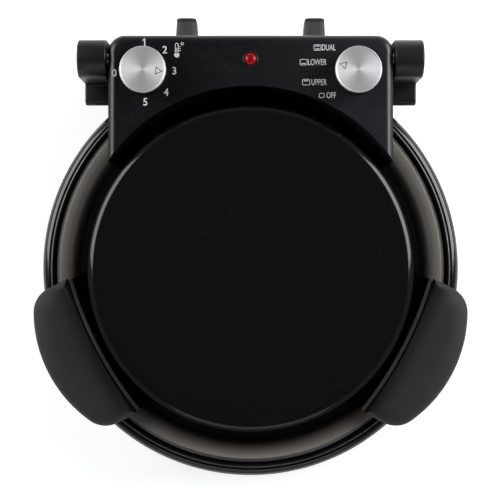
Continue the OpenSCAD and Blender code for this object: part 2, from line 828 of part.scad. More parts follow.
// Outline of a handle in its own frame: x away from the oven, y along the handle.
// The outer curve, the corners and the straight ends meet in tangents.
module handle_outline(reach, d) {
    outer_c = reach - handle_outer_r;
    corner_y = handle_half_l - handle_corner_r;
    corner_x = outer_c + sqrt(pow(handle_outer_r - handle_corner_r, 2) - pow(corner_y, 2));
    touch = handle_half_l * 0.72;
    inner = seam_u - 6;
    intersection() {
        translate([outer_c, 0]) circle(r = handle_outer_r - d);
        translate([inner, -touch]) square([far, 2 * touch]);
    }
    for (s = [-1, 1]) translate([corner_x, s * corner_y]) circle(r = handle_corner_r - d);
    translate([inner, -(handle_half_l - d)])
        square([corner_x - inner, 2 * (handle_half_l - d)]);
}

// Disc whose edge is the curved seam, moved inwards by d
module seam_disc(d) {
    translate([seam_u - seam_r, 0]) circle(r = seam_r - d, $fn = 240);
}

module at_handle(side) {
    on_side(side) rotate([0, 0, -handle_deg]) children();
}

// Crowned grip: [inset of the outline, height] from the underside to the crown
module grip_form(reach, h) {
    levels = [[3, 0], [0.8, 0.18 * h], [0, 0.36 * h], [1.6, 0.62 * h], [5, 0.82 * h],
              [11, 0.95 * h], [17, h - eps]];
    hull() for (lv = levels) translate([0, 0, lv[1]]) linear_extrude(height = eps)
        handle_outline(reach, lv[0], $fn = hull_fn);
}

module handle_screw_places() {
    for (t = [-1, 1]) translate([handle_screw_u, t * handle_screw_t, 0]) children();
}

handle_screw_u = brim_r + 7.5;

module handle(side) {
    color(charcoal) at_axis() at_handle(side) difference() {
        translate([0, 0, grip_z]) grip_form(handle_reach, grip_h);
        linear_extrude(height = far) seam_disc(0);
        translate([0, 0, grip_z - 1]) handle_screw_places()
            cylinder(r = screw_r + running_gap, h = screw_l - 1);
    }
}

// Black bracket between the lid and a handle, with a raised lip along the seam
module handle_bracket(side) {
    color(black) at_axis() difference() {
        at_handle(side) difference() {
            union() {
                translate([0, 0, plate_z - 4]) linear_extrude(height = web_top_z - plate_z + 4)
                    intersection() {
                        seam_disc(lip_groove);
                        translate([0, -handle_half_l + 2])
                            square([far, 2 * handle_half_l - 4]);
                    }
                translate([0, 0, web_top_z - 1]) linear_extrude(height = lip_top_z - web_top_z + 1)
                    intersection() {
                        difference() {
                            seam_disc(lip_groove);
                            seam_disc(lip_groove + lip_w);
                        }
                        translate([0, -handle_half_l + 2])
                            square([far, 2 * handle_half_l - 4]);
                    }
                translate([seam_u - 9, -44, plate_z])
                    cube([handle_screw_u + 8 - seam_u + 9, 88, plate_t]);
            }
            handle_screw_places() cylinder(r = screw_r + seat_gap, h = far / 2);
        }
        lid_space(seat_gap);
    }
}

module handle_screws() {
    color(steel) at_axis() both_sides() at_handle(1) handle_screw_places()
        translate([0, 0, plate_z]) screw_up(plate_t + handle_screw_bite);
}

// Grip on the base, under a lid handle
module base_grip(side) {
    color(charcoal) at_axis() difference() {
        at_handle(side) translate([0, 0, base_grip_z])
            grip_form(base_grip_reach, base_grip_h);
        tub_solid(-seat_gap);
        on_side(side) base_grip_screw_places()
            rod_x(screw_r + running_gap, base_r - 20, base_grip_reach - 8);
    }
}

module base_grip_screws() {
    color(steel) at_axis() base_grip_screw_places() translate([grip_screw_u, 0, 0])
        rotate([0, 90, 0]) screw_up(grip_screw_l);
}

// ---- lid ----

// Places where the wires pass from the lid up into the control housing
wire_port_x = [-40, -16, 16];
wire_port_r = 3.8;

function port_y(x) =
    housing_front_y + sqrt(pow(housing_front_r + housing_wall + 3.4, 2) - x * x);

// Point at the radius r from the oven's axis, in the direction a
function polar(r, a, z) = [r * cos(a), r * sin(a), z];

// Route down between the lid's hollow curve and the reflector, and up through a port
function down_route(x) =
    let (y = port_y(x), a = atan2(y, x))
    [polar(drum_r - 2.5, a, brim_z + 20),
     polar(drum_r + 3.1, a, brim_z + 8.4),
     polar(drum_r + 9.9, a, brim_z + 0.2),
     polar(norm([x, y]) - 3, a, reflector_flange_z + 0.9),
     [x, y, brim_z + 0.6],
     [x, y + 1, brim_z + 12]];

module wire_holes(grow) {
    for (x = wire_port_x) translate([x, port_y(x), brim_z - 6])
        cylinder(r = wire_port_r + grow, h = 20);
}

module lid_shell() {
    color(black) at_axis() difference() {
        rotate_extrude() polygon(lid_section());
        wire_holes(0);
    }
}

module reflector() {
    color(sheet_grey) at_axis() difference() {
        rotate_extrude() polygon(concat(reflector_line(0), backwards(reflector_line(pan_sheet))));
        heater_ends(upper_ring_r) translate([0, 0, ceiling_z - 5])
            cylinder(r = heater_leg_r + seat_gap, h = 10);
    }
}

module upper_heater() {
    leg_low_z = upper_ring_z - heater_leg_r;
    color("#4a4644") at_axis() {
        heater_ring(upper_ring_r, upper_ring_z);
        heater_ends(upper_ring_r) translate([0, 0, leg_low_z])
            cylinder(r = heater_leg_r, h = upper_leg_z - leg_low_z);
    }
}

module upper_heater_clips() {
    color(steel) at_axis() for (a = [30, 150, 270]) rotate([0, 0, a])
        heater_clip(upper_ring_r, upper_ring_z - heater_tube_r - 2,
                    ceiling_z - pan_sheet, upper_ring_z);
}

module lid_wiring() {
    end_x = upper_ring_r * sin(heater_gap_deg);
    end_y = upper_ring_r * cos(heater_gap_deg);
    wire_r = 0.8;
    color(wire_brown) at_axis() for (s = [-1, 1])
        wire(concat([[s * end_x, end_y, upper_leg_z + seat_gap],
                     [s * end_x, end_y + 0.5, upper_leg_z + 2],
                     [s * 17, drum_r - 10, ceiling_z + 5]],
                    down_route(s * wire_port_x[2]),
                    [[s * 50, knob_y, brim_z + 14],
                     [s * (knob_x - 16.4), knob_y, panel_under_z - 8]]), wire_r);
}

module lid_bumpers() {
    pad_low_z = pan_flange_z + body_gap;
    color(rubber_grey) at_axis() for (a = [30, 150, 225, 315]) rotate([0, 0, a])
        translate([brim_r - 3, 0, pad_low_z]) cylinder(r = 2.4, h = roll_low_z - pad_low_z);
}

// Rounded block of the control housing, moved inwards by d
module housing_block(d) {
    half = housing_half_w - d;
    rear = housing_rear - d;
    corner = housing_corner_r - d;
    edge = housing_edge_r - d;
    top = housing_top_z - d;
    hull() for (s = [-1, 1]) {
        translate([s * (half - corner), rear - corner, 0]) edge_post(corner, edge, top);
        translate([s * (half - edge), 60, 0]) edge_post(edge, edge, top);
    }
}

// Upright post of radius r with its upper edge rounded by e
module edge_post(r, e, top) {
    rotate_extrude($fn = hull_fn)
        polygon(concat([[0, housing_floor_z - 8], [r, housing_floor_z - 8]],
                       arc([r - e, top - e], e, 0, 90, 8), [[0, top]]));
}

// Space under the housing's lower surface, which curves up about the hinge axis at the rear
module under_housing(d) {
    translate([-far / 2, 0, 0]) rotate([90, 0, 90]) linear_extrude(height = far)
        difference() {
            translate([0, -50]) square([far, hinge_z + 50]);
            translate([hinge_y, hinge_z]) circle(r = tail_r - d);
            translate([0, housing_floor_z + d]) square([hinge_y, far]);
            translate([hinge_y, hinge_z - 12]) square([far, far]);
        }
}

module control_places(r) {
    for (s = [-1, 1]) translate([s * knob_x, knob_y, panel_under_z - 1]) cylinder(r = r, h = 20);
}

module control_housing() {
    color(panel_black) at_axis() difference() {
        union() {
            difference() {
                housing_block(0);
                difference() {
                    housing_block(housing_wall);
                    translate([0, housing_front_y, 0])
                        cylinder(r = housing_front_r + housing_wall, h = far);
                }
            }
            // posts for the cover's screws
            difference() {
                housing_screw_places() translate([0, 0, housing_floor_z])
                    cylinder(r = boss_r, h = housing_top_z - housing_wall / 2 - housing_floor_z);
                under_housing(housing_cover_t + seat_gap);
            }
        }
        translate([0, housing_front_y, -1]) cylinder(r = housing_front_r, h = far);
        lid_space(seat_gap);
        under_housing(0);
        housing_screw_places() translate([0, 0, -1])
            cylinder(r = screw_r + running_gap, h = housing_floor_z + 18);
        control_places(neck_r + seat_gap / 2);
        translate([0, lamp_y, panel_under_z - 1]) cylinder(r = lamp_r + seat_gap, h = 20);
        both_sides() translate([0, hinge_y, hinge_z])
            rod_x(bush_r + 1.4 + body_gap, housing_half_w - housing_wall - 3, far);
    }
}

module housing_screw_places() {
    for (x = [-62, -38, 38, 62]) translate([x, housing_rear - housing_screw_inset, 0]) children();
}

module housing_cover() {
    inset = housing_wall + seat_gap;
    color(black) at_axis() difference() {
        intersection() {
            housing_block(inset);
            translate([0, 0, housing_floor_z - 1]) cylinder(r = far, h = 34);
        }
        translate([0, housing_front_y, -1])
            cylinder(r = housing_front_r + housing_wall + seat_gap, h = far);
        lid_space(seat_gap);
        wire_holes(0);
        under_housing(0);
        difference() {
            translate([-far / 2, 0, 0]) cube([far, far, far]);
            under_housing(housing_cover_t);
        }
        housing_screw_places() translate([0, 0, -1])
            cylinder(r = screw_r + seat_gap, h = housing_floor_z + 18);
    }
}

// Screws through the cover's curved rear part, each in a flat-bottomed place
module housing_screws() {
    back = housing_rear - housing_screw_inset - hinge_y;
    seat_z = hinge_z - sqrt(pow(tail_r, 2) - pow(back, 2));
    color(steel) at_axis() housing_screw_places() translate([0, 0, seat_z - 0.5])
        screw_up(housing_screw_l);
}

// Steel bracket inside the housing that carries the lid on the two hinge pins
module hinge_bracket() {
    plate_y0 = 138;
    plate_y1 = housing_rear - 19;
    color(steel) at_axis() difference() {
        union() {
            translate([-lug_x - lug_t, plate_y0, bracket_z])
                cube([2 * (lug_x + lug_t), plate_y1 - plate_y0, bracket_t]);
            both_sides() translate([lug_x, 0, 0]) rotate([90, 0, 90])
                linear_extrude(height = lug_t) {
                    translate([hinge_y, hinge_z]) circle(r = lug_r);
                    polygon([[plate_y0 + 14, bracket_z], [plate_y1, bracket_z],
                             [hinge_y + lug_r, hinge_z - 4], [hinge_y + lug_r, hinge_z],
                             [hinge_y - lug_r, hinge_z]]);
                }
        }
        lid_space(seat_gap);
        translate([0, housing_front_y, -1])
            cylinder(r = housing_front_r + housing_wall + seat_gap, h = far);
        translate([0, hinge_y, hinge_z]) rod_x(bush_r, -far / 2, far / 2);
        wire_holes(1.5);
        under_housing(housing_cover_t + seat_gap);
    }
}

module hinge_bushes() {
    flange_t = 1.5;
    color(brass_tone) at_axis() both_sides() translate([lug_x - flange_t, hinge_y, hinge_z])
        difference() {
            union() {
                rod_x(bush_r + 1.4, 0, flange_t);
                rod_x(bush_r, 0, flange_t + lug_t + 4.5);
            }
            rod_x(pin_r + running_gap, -1, 20);
        }
}

// Threaded neck, its hole taking the shaft, that holds a control under the panel
module control_neck() {
    translate([0, 0, panel_under_z - 2]) tube(neck_r, shaft_r + running_gap,
                                              neck_top_z - panel_under_z + 2);
}

module thermostat() {
    body_h = 15;
    color(steel) at_axis() translate([-knob_x, knob_y, 0]) {
        control_neck();
        difference() {
            translate([-15, -13, panel_under_z - body_h]) cube([30, 26, body_h - seat_gap]);
            translate([0, 0, shaft_low_z]) cylinder(r = shaft_r + running_gap, h = far);
        }
        for (x = [-11, 11]) translate([x - 2, 4, panel_under_z - body_h - 7]) cube([4, 1, 7.5]);
    }
}

// Feeler of the thermostat on the reflector, with its capillary tube
module sensor_bulb() {
    bulb_r = 3;
    bulb_y = 62;
    bulb_z = ceiling_z + bulb_r + seat_gap;
    color(brass_tone) at_axis() {
        translate([-44, 0, bulb_z]) rod_y(bulb_r, 12, bulb_y);
        wire(concat([[-44, bulb_y - 1, bulb_z],
                     [-44, bulb_y + 20, bulb_z],
                     [-38, drum_r - 19, ceiling_z + 4]],
                    down_route(wire_port_x[0]),
                    [[-60, knob_y, brim_z + 14],
                     [-knob_x + 6, knob_y, panel_under_z - 16]]), 0.7);
    }
}

module selector_switch() {
    body_h = 16;
    color("#3a3128") at_axis() translate([knob_x, knob_y, 0]) {
        control_neck();
        difference() {
            translate([0, 0, panel_under_z - body_h]) cylinder(r = 15.5, h = body_h - seat_gap);
            translate([0, 0, shaft_low_z]) cylinder(r = shaft_r + running_gap, h = far);
        }
        for (a = [0:90:270]) rotate([0, 0, a])
            translate([11, -2, panel_under_z - body_h - 7]) cube([1, 4, 7.5]);
    }
}

module control_nuts() {
    color(brass_tone) at_axis() for (s = [-1, 1])
        translate([s * knob_x, knob_y, housing_top_z]) difference() {
            cylinder(r = neck_r + 3, h = nut_t, $fn = 6);
            translate([0, 0, -1]) cylinder(r = neck_r + running_gap, h = nut_t + 2);
        }
}

module lamp_holder() {
    color(panel_black) at_axis() translate([0, lamp_y, 0]) {
        translate([0, 0, panel_under_z - 14]) cylinder(r = lamp_r + 2, h = 14 - seat_gap);
        for (x = [-2, 2]) translate([x - 0.4, -1.5, panel_under_z - 20]) cube([0.8, 3, 6.5]);
    }
}

module lamp_lens() {
    flat = 0.6;
    color(lamp_red) at_axis() translate([0, lamp_y, 0]) rotate_extrude()
        polygon(concat([[0, panel_under_z], [lamp_r, panel_under_z]],
                       [for (i = [0:8]) [lamp_r * cos(90 * i / 8),
                                         housing_top_z + flat + 3.4 * sin(90 * i / 8)]]));
}

module lamp_bezel() {
    color(panel_black) at_axis() translate([0, lamp_y, housing_top_z])
        tube(lamp_r + 1.5, lamp_r + seat_gap, 0.9);
}

// ---- knobs ----

module knob_at(s) {
    translate([s * knob_x, knob_y, 0]) children();
}

// Black knob body: a cup over the nut with a hub for the shaft
module knob_body() {
    rim = 2.2;
    hub_r = shaft_r + 3;
    body_r = knob_r - 0.6;
    difference() {
        rotate_extrude()
            polygon([[0, knob_low_z], [body_r + 0.4, knob_low_z], [body_r + 0.4, knob_low_z + 2],
                     [body_r, knob_low_z + 3], [body_r - 0.8, knob_body_top_z],
                     [0, knob_body_top_z]]);
        translate([0, 0, knob_low_z - 1]) difference() {
            cylinder(r = body_r - rim, h = knob_body_top_z - knob_low_z - 2.5);
            translate([0, 0, neck_top_z + 1.5 - knob_low_z]) cylinder(r = hub_r, h = far);
        }
        translate([0, 0, knob_low_z - 1])
            cylinder(r = shaft_r + running_gap, h = shaft_top_z - knob_low_z + 1 + seat_gap);
    }
}

shaft_top_z = knob_body_top_z - 2;

// Spun metal face with a raised rim and an engraved pointer
module knob_face(pointer_deg) {
    groove = 0.5;
    tip_r = knob_r - 2.4;
    translate([0, 0, knob_body_top_z]) difference() {
        rotate_extrude()
            polygon([[0, 0], [knob_r, 0], [knob_r, knob_face_t - 0.4],
                     [knob_r - 0.4, knob_face_t], [knob_r - 0.9, knob_face_t],
                     [knob_r - 1.3, knob_face_t - 0.35], [0, knob_face_t - 0.35]]);
        rotate([0, 0, pointer_deg])
            translate([tip_r - 3.4, 0, knob_face_t - 0.35 - groove])
                linear_extrude(height = 2) difference() {
                    polygon([[-0.6, -2.6], [3.4, 0], [-0.6, 2.6]]);
                    polygon([[-0.1, -1.75], [2.5, 0], [-0.1, 1.75]]);
                }
    }
}

module control_shaft() {
    difference() {
        translate([0, 0, shaft_low_z + 0.3])
            cylinder(r = shaft_r, h = shaft_top_z - shaft_low_z - 0.3);
        translate([-far / 2, shaft_r - 1, neck_top_z + 2]) cube([far, far, far]);
    }
}

module thermostat_knob() {
    color(black) at_axis() knob_at(-1) knob_body();
}

module thermostat_face() {
    color(spun_metal) at_axis() knob_at(-1) knob_face(thermostat_pointer_deg);
}

module thermostat_shaft() {
    color(steel) at_axis() knob_at(-1) control_shaft();
}

module selector_knob() {
    color(black) at_axis() knob_at(1) knob_body();
}

module selector_face() {
    color(spun_metal) at_axis() knob_at(1) knob_face(selector_pointer_deg);
}

module selector_shaft() {
    color(steel) at_axis() knob_at(1) control_shaft();
}

// ---- the whole oven ----

base_shell();
trim_ring();
bottom_cover();
rubber_feet();
bottom_screws();
base_pan();
lower_heater();
lower_heater_clips();
stone_supports();
pizza_stone();
terminal_block();
base_wiring();
rear_housing();
rear_cover();
rear_screws();
storage_foot(-1);  // storage_foot_left
storage_foot(1);  // storage_foot_right
cord_inlet();
hinge_tower(-1);  // hinge_tower_left
hinge_tower(1);  // hinge_tower_right
hinge_cap(-1);  // hinge_cap_left
hinge_cap(1);  // hinge_cap_right
hinge_pin(-1);  // hinge_pin_left
hinge_pin(1);  // hinge_pin_right
tower_screws();
lid_lead();
base_grip(-1);  // base_grip_left
base_grip(1);  // base_grip_right
base_grip_screws();
lid_shell();
reflector();
upper_heater();
upper_heater_clips();
lid_wiring();
lid_bumpers();
control_housing();
housing_cover();
housing_screws();
hinge_bracket();
hinge_bushes();
thermostat();
sensor_bulb();
selector_switch();
control_nuts();
lamp_holder();
lamp_lens();
lamp_bezel();
handle(-1);  // handle_left
handle(1);  // handle_right
handle_bracket(-1);  // handle_bracket_left
handle_bracket(1);  // handle_bracket_right
handle_screws();
thermostat_knob();
thermostat_face();
thermostat_shaft();
selector_knob();
selector_face();
selector_shaft();
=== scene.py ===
"""Looks of a round worktop pizza oven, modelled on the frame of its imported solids."""

import json
import math
import bmesh
import bpy
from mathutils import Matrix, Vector


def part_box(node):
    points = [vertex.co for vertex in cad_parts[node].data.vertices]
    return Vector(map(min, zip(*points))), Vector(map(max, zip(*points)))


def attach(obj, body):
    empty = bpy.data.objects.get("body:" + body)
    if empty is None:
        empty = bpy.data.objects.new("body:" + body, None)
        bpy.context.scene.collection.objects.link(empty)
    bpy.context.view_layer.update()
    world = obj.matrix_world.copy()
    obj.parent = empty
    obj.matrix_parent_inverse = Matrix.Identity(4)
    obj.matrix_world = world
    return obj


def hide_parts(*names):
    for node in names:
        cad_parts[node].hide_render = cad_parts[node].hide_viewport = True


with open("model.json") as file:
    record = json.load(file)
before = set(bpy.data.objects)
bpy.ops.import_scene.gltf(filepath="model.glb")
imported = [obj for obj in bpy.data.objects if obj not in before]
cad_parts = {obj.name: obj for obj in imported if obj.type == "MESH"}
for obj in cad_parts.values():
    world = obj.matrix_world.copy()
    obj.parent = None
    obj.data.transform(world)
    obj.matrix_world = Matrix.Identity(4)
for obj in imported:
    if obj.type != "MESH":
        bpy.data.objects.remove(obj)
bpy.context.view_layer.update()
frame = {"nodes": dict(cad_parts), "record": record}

# ---- sizes in millimetres, counted from the oven's upright axis and the table ----

MM = 0.001
lid_low, lid_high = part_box("lid_shell")
AXIS_Y = (lid_low.y + lid_high.y) / 2

LID_TOP = 140.0
DRUM_R = 134.5
DRUM_EDGE = 6.0
EDGE_W = 9.0
COVE_R = 27.5
BRIM_Z = 90.0
BRIM_R = 164.0
LID_SHEET = 1.2
ROLL_R = 1.5
RIM_Z = 86.0
BASE_R = 179.5
MOUTH_R = 167.5
LEDGE_Z = 83.0
UNDERSIDE_R = 146.0
UNDER_Z = 12.0
PAN_R = 158.5
PAN_FLOOR = 38.0
TRIM_R = 170.2
TRIM_BEAD = 1.6
PANEL_Z = 140.0
HALF_W = 117.3
HOUSING_REAR = 192.0
FRONT_R = 142.4
FRONT_Y = 7.6
HINGE_Y = 173.6
HINGE_Z = 126.0
TAIL_R = 36.0
KNUCKLE_R = 15.8
KNOB_X = 87.0
KNOB_Y = 161.0
LAMP_Y = 171.6
HANDLE_DEG = 27.5
SEAM_U = 147.7
SEAM_R = 313.0
GRIP_Z = 97.0
BASE_GRIP_Z = 61.0
GRIP_H = 16.0
HANDLE_REACH = 192.68
BASE_GRIP_REACH = 190.0
HANDLE_HALF = 64.0
TOWER_IN = 118.5
TOWER_OUT = 142.5
REAR_WALL = 196.0
STORAGE_X = 55.8
STORAGE_Z = 54.0
INLET_Z = 34.0
HOUSING_WALL = 2.5
SEAT_GAP = 0.2
MERGE_GAP = 0.002
STONE_R = 154.5
STONE_LOW = 66.0
STONE_TOP = 78.0
CEILING_Z = 126.0
CEILING_SHEET = 1.0
SHAFT_HOLE_R = 5.1
LAMP_R = 4.9
FOOT_ORBIT = 112.0
SCREW_ORBIT = 136.0
VENT_SLOTS = 20
PRINT_THICK = 0.03
NUMBER_ORBIT = 24.6
CAP_SEAT = TOWER_OUT - 2


def at(x, y, z):
    """A place counted from the oven's axis, in millimetres, as a point of the frame."""
    return Vector((x * MM, y * MM + AXIS_Y, z * MM))


def arc(cx, cy, radius, start, end, steps=12):
    """Points along an arc, by angles in degrees."""
    turns = [math.radians(start + (end - start) * i / steps) for i in range(steps + 1)]
    return [(cx + radius * math.cos(t), cy + radius * math.sin(t)) for t in turns]


def quarter(inset, rise, steps):
    """Steps of a quarter ellipse: how far each one goes inwards, and how far up."""
    turns = [math.pi / 2 * i / steps for i in range(steps + 1)]
    ring = [(inset * (1 - math.cos(t)), rise * math.sin(t)) for t in turns]
    return [(b[0] - a[0], b[1] - a[1]) for a, b in zip(ring, ring[1:])]


# ---- ways of shaping a piece ----

def object_mode():
    """Leaves edit mode."""
    bpy.ops.object.mode_set(mode="OBJECT")


def only(piece):
    """Makes the piece the one that is selected and active, in object mode."""
    if bpy.context.object and bpy.context.object.mode != "OBJECT":
        object_mode()
    bpy.ops.object.select_all(action="DESELECT")
    piece.select_set(True)
    bpy.context.view_layer.objects.active = piece


def edit(piece):
    """Opens the piece in edit mode."""
    only(piece)
    bpy.ops.object.mode_set(mode="EDIT")


def pick(piece, kind, test):
    """Selects the faces, edges or vertices whose middle and normal pass the test."""
    bpy.ops.mesh.select_mode(type=kind)
    bpy.ops.mesh.select_all(action="DESELECT")
    mesh = bmesh.from_edit_mesh(piece.data)
    if kind == "FACE":
        for face in mesh.faces:
            face.select_set(test(face.calc_center_median(), face.normal))
    elif kind == "EDGE":
        for edge in mesh.edges:
            edge.select_set(test(edge.verts[0].co, edge.verts[1].co))
    else:
        for vert in mesh.verts:
            vert.select_set(test(vert.co))
    mesh.select_flush_mode()
    bmesh.update_edit_mesh(piece.data)


def started(name):
    """Takes the new primitive over as a named piece with its place in its mesh."""
    piece = bpy.context.active_object
    piece.name = name
    piece.data.name = name
    bpy.ops.object.transform_apply(location=True, rotation=True, scale=True)
    return piece


def drawn(name, points):
    """Edges drawn from point to point, left open in edit mode."""
    if bpy.context.object and bpy.context.object.mode != "OBJECT":
        object_mode()
    bpy.ops.object.select_all(action="DESELECT")
    bpy.ops.mesh.primitive_plane_add(size=MM, location=points[0])
    piece = started(name)
    bpy.ops.object.mode_set(mode="EDIT")
    bpy.ops.mesh.select_mode(type="VERT")
    bpy.ops.mesh.select_all(action="SELECT")
    bpy.ops.mesh.merge(type="CENTER")
    for last, point in zip(points, points[1:]):
        bpy.ops.mesh.extrude_region_move(TRANSFORM_OT_translate={"value": point - last})
    return piece


def cleaned():
    """Merges what meets and turns all faces outwards."""
    bpy.ops.mesh.select_all(action="SELECT")
    bpy.ops.mesh.remove_doubles(threshold=MERGE_GAP * MM)
    bpy.ops.mesh.normals_make_consistent(inside=False)


def spun(steps, centre, axis):
    """Spins the drawn outline once about a line."""
    bpy.ops.mesh.select_all(action="SELECT")
    bpy.ops.mesh.spin(steps=steps, angle=math.tau, center=centre, axis=axis)
    cleaned()
    object_mode()


def turned(name, outline, steps=192, centre=(0, 0)):
    """Spins an outline of radii and heights about an upright axis."""
    x, y = centre
    piece = drawn(name, [at(x + r, y, z) for r, z in outline])
    spun(steps, at(x, y, 0), (0, 0, 1))
    return piece


def filled(name, ring, pull):
    """Fills a ring of points and pulls it into a plate."""
    piece = drawn(name, ring + ring[:1])
    bpy.ops.mesh.select_all(action="SELECT")
    bpy.ops.mesh.remove_doubles(threshold=MERGE_GAP * MM)
    bpy.ops.mesh.edge_face_add()
    bpy.ops.mesh.extrude_region_move(TRANSFORM_OT_translate={"value": pull})
    cleaned()
    object_mode()
    return piece


def plate(name, outline, low, high):
    """Plate over an outline of x and y places."""
    return filled(name, [at(x, y, low) for x, y in outline], (0, 0, (high - low) * MM))


def side_plate(name, outline, x0, x1):
    """Plate across the oven over an outline of y and z places."""
    return filled(name, [at(x0, y, z) for y, z in outline], ((x1 - x0) * MM, 0, 0))


def round_corners(x0, x1, y0, y1, radius, steps):
    """Outline with four round corners about these centres."""
    return (arc(x1, y1, radius, 0, 90, steps) + arc(x0, y1, radius, 90, 180, steps)
            + arc(x0, y0, radius, 180, 270, steps) + arc(x1, y0, radius, 270, 360, steps))


def block(name, middle, width, depth, height):
    """Upright block of a size in millimetres."""
    bpy.ops.object.select_all(action="DESELECT")
    bpy.ops.mesh.primitive_cube_add(size=1, location=middle,
                                    scale=(width * MM, depth * MM, height * MM))
    return started(name)


def crown(steps):
    """Steps the selected face inwards and upwards, in millimetres."""
    for inwards, upwards in steps:
        bpy.ops.mesh.inset(thickness=inwards * MM, depth=upwards * MM)


def cut(piece, tool, operation="DIFFERENCE"):
    """Takes the tool's form away from the piece, or joins it on."""
    only(piece)
    change = piece.modifiers.new("cut", "BOOLEAN")
    change.operation = operation
    change.solver = "EXACT"
    change.object = tool
    bpy.ops.object.modifier_apply(modifier=change.name)
    bpy.data.objects.remove(tool)


def rounded(width, segments=3):
    """Bevels the selected edges, width in millimetres."""
    bpy.ops.mesh.bevel(offset=width * MM, segments=segments, affect="EDGES",
                       clamp_overlap=True)


def softened(piece, width, segments=2, angle=40):
    """Rounds every sharp edge of the piece a little."""
    only(piece)
    bevel = piece.modifiers.new("edge", "BEVEL")
    bevel.width = width * MM
    bevel.segments = segments
    bevel.limit_method = "ANGLE"
    bevel.angle_limit = math.radians(angle)
    bevel.miter_outer = "MITER_ARC"
    bpy.ops.object.modifier_apply(modifier=bevel.name)


def smoothed(piece, angle=32):
    """Shades the piece smoothly, with its flats kept flat."""
    only(piece)
    bpy.ops.object.shade_smooth_by_angle(angle=math.radians(angle))
    flats = piece.modifiers.new("flats", "WEIGHTED_NORMAL")
    flats.keep_sharp = True
    flats.weight = 100
    bpy.ops.object.modifier_apply(modifier=flats.name)
    return piece


def opened_copy(piece, name):
    """A copy of the piece with its own mesh, all selected in edit mode."""
    only(piece)
    bpy.ops.object.duplicate(linked=False)
    twin = bpy.context.active_object
    twin.name = name
    twin.data.name = name
    bpy.ops.object.mode_set(mode="EDIT")
    bpy.ops.mesh.select_all(action="SELECT")
    return twin


def mirrored(piece, name):
    """The same piece for the other side of the oven."""
    twin = opened_copy(piece, name)
    bpy.ops.transform.mirror(orient_type="GLOBAL", constraint_axis=(True, False, False),
                             center_override=(0, 0, 0))
    bpy.ops.mesh.normals_make_consistent(inside=False)
    object_mode()
    return twin


def turned_copy(piece, name, degrees):
    """A copy of the piece, turned about the oven's axis."""
    twin = opened_copy(piece, name)
    bpy.ops.transform.rotate(value=math.radians(degrees), orient_axis="Z",
                             center_override=at(0, 0, 0))
    object_mode()
    return twin


def joined(name, pieces):
    """Several meshes made into one piece."""
    only(pieces[0])
    for piece in pieces[1:]:
        piece.select_set(True)
    bpy.ops.object.join()
    whole = bpy.context.active_object
    whole.name = name
    whole.data.name = name
    return whole


def placed(piece, finish, body, slot, *nodes):
    """Gives a finished piece its material and its body, and hides the CAD nodes it stands
    for.
    """
    piece.data.materials.clear()
    piece.data.materials.append(MAT[finish])
    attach(piece, body)
    if nodes:
        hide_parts(*nodes)


def placed_pair(piece, finish, body, slot, node):
    """Places a right piece for its node, and its mirrored twin for the left one."""
    twin = mirrored(piece, piece.name.replace("right", "left"))
    placed(piece, finish, body, slot, node)
    placed(twin, finish, body, slot, node.replace("right", "left"))


# ---- shader groups shared by the finishes ----

def linear(red, green, blue):
    """A colour given as on a screen, 0 to 255, as the linear colour of a shader."""
    def channel(value):
        value /= 255
        if value <= 0.04045:
            return value / 12.92
        return ((value + 0.055) / 1.055) ** 2.4
    return (channel(red), channel(green), channel(blue), 1.0)


def new_group(name, inputs, outputs):
    """An empty shader group with named sockets."""
    group = bpy.data.node_groups.new(name, "ShaderNodeTree")
    for label, kind, value in inputs:
        socket = group.interface.new_socket(name=label, in_out="INPUT", socket_type=kind)
        socket.default_value = value
    for label, kind in outputs:
        group.interface.new_socket(name=label, in_out="OUTPUT", socket_type=kind)
    start = group.nodes.new("NodeGroupInput")
    end = group.nodes.new("NodeGroupOutput")
    return group, start, end


def give(tree, socket, value):
    """Feeds a shader socket from another one, or sets its plain value."""
    if isinstance(value, bpy.types.NodeSocket):
        tree.links.new(value, socket)
    else:
        socket.default_value = value


def add_node(tree, kind, inputs):
    """A shader node with inputs fed or set."""
    node = tree.nodes.new("ShaderNode" + kind)
    for name, value in inputs.items():
        give(tree, node.inputs[name], value)
    return node


def math_node(tree, operation, *values):
    """A maths node fed by sockets or by plain values."""
    node = add_node(tree, "Math", dict(enumerate(values)))
    node.operation = operation
    return node.outputs[0]


def noise_node(tree, vector, scale, detail=4.0, rough=0.55):
    """A noise pattern in three dimensions."""
    node = add_node(tree, "TexNoise", {"Detail": detail, "Roughness": rough,
                                       "Scale": scale, "Vector": vector})
    return node.outputs["Fac"]


MOULD_GRAIN = 2600.0
FLOAT = "NodeSocketFloat"
VECTOR = "NodeSocketVector"


def grain_group():
    """Fine pebbled grain of moulded plastic or rubber, as a height from 0 to 1."""
    group, start, end = new_group(
        "moulded_grain",
        [("Vector", VECTOR, (0, 0, 0)), ("Scale", FLOAT, 2500.0)],
        [("Height", FLOAT)])
    vector = start.outputs["Vector"]
    scale = start.outputs["Scale"]
    cells = add_node(group, "TexVoronoi", {"Vector": vector, "Scale": scale})
    cells.feature = "SMOOTH_F1"
    fine = noise_node(group, vector, scale, 2.0)
    height = math_node(group, "MULTIPLY", cells.outputs["Distance"], fine)
    group.links.new(height, end.inputs["Height"])
    return group


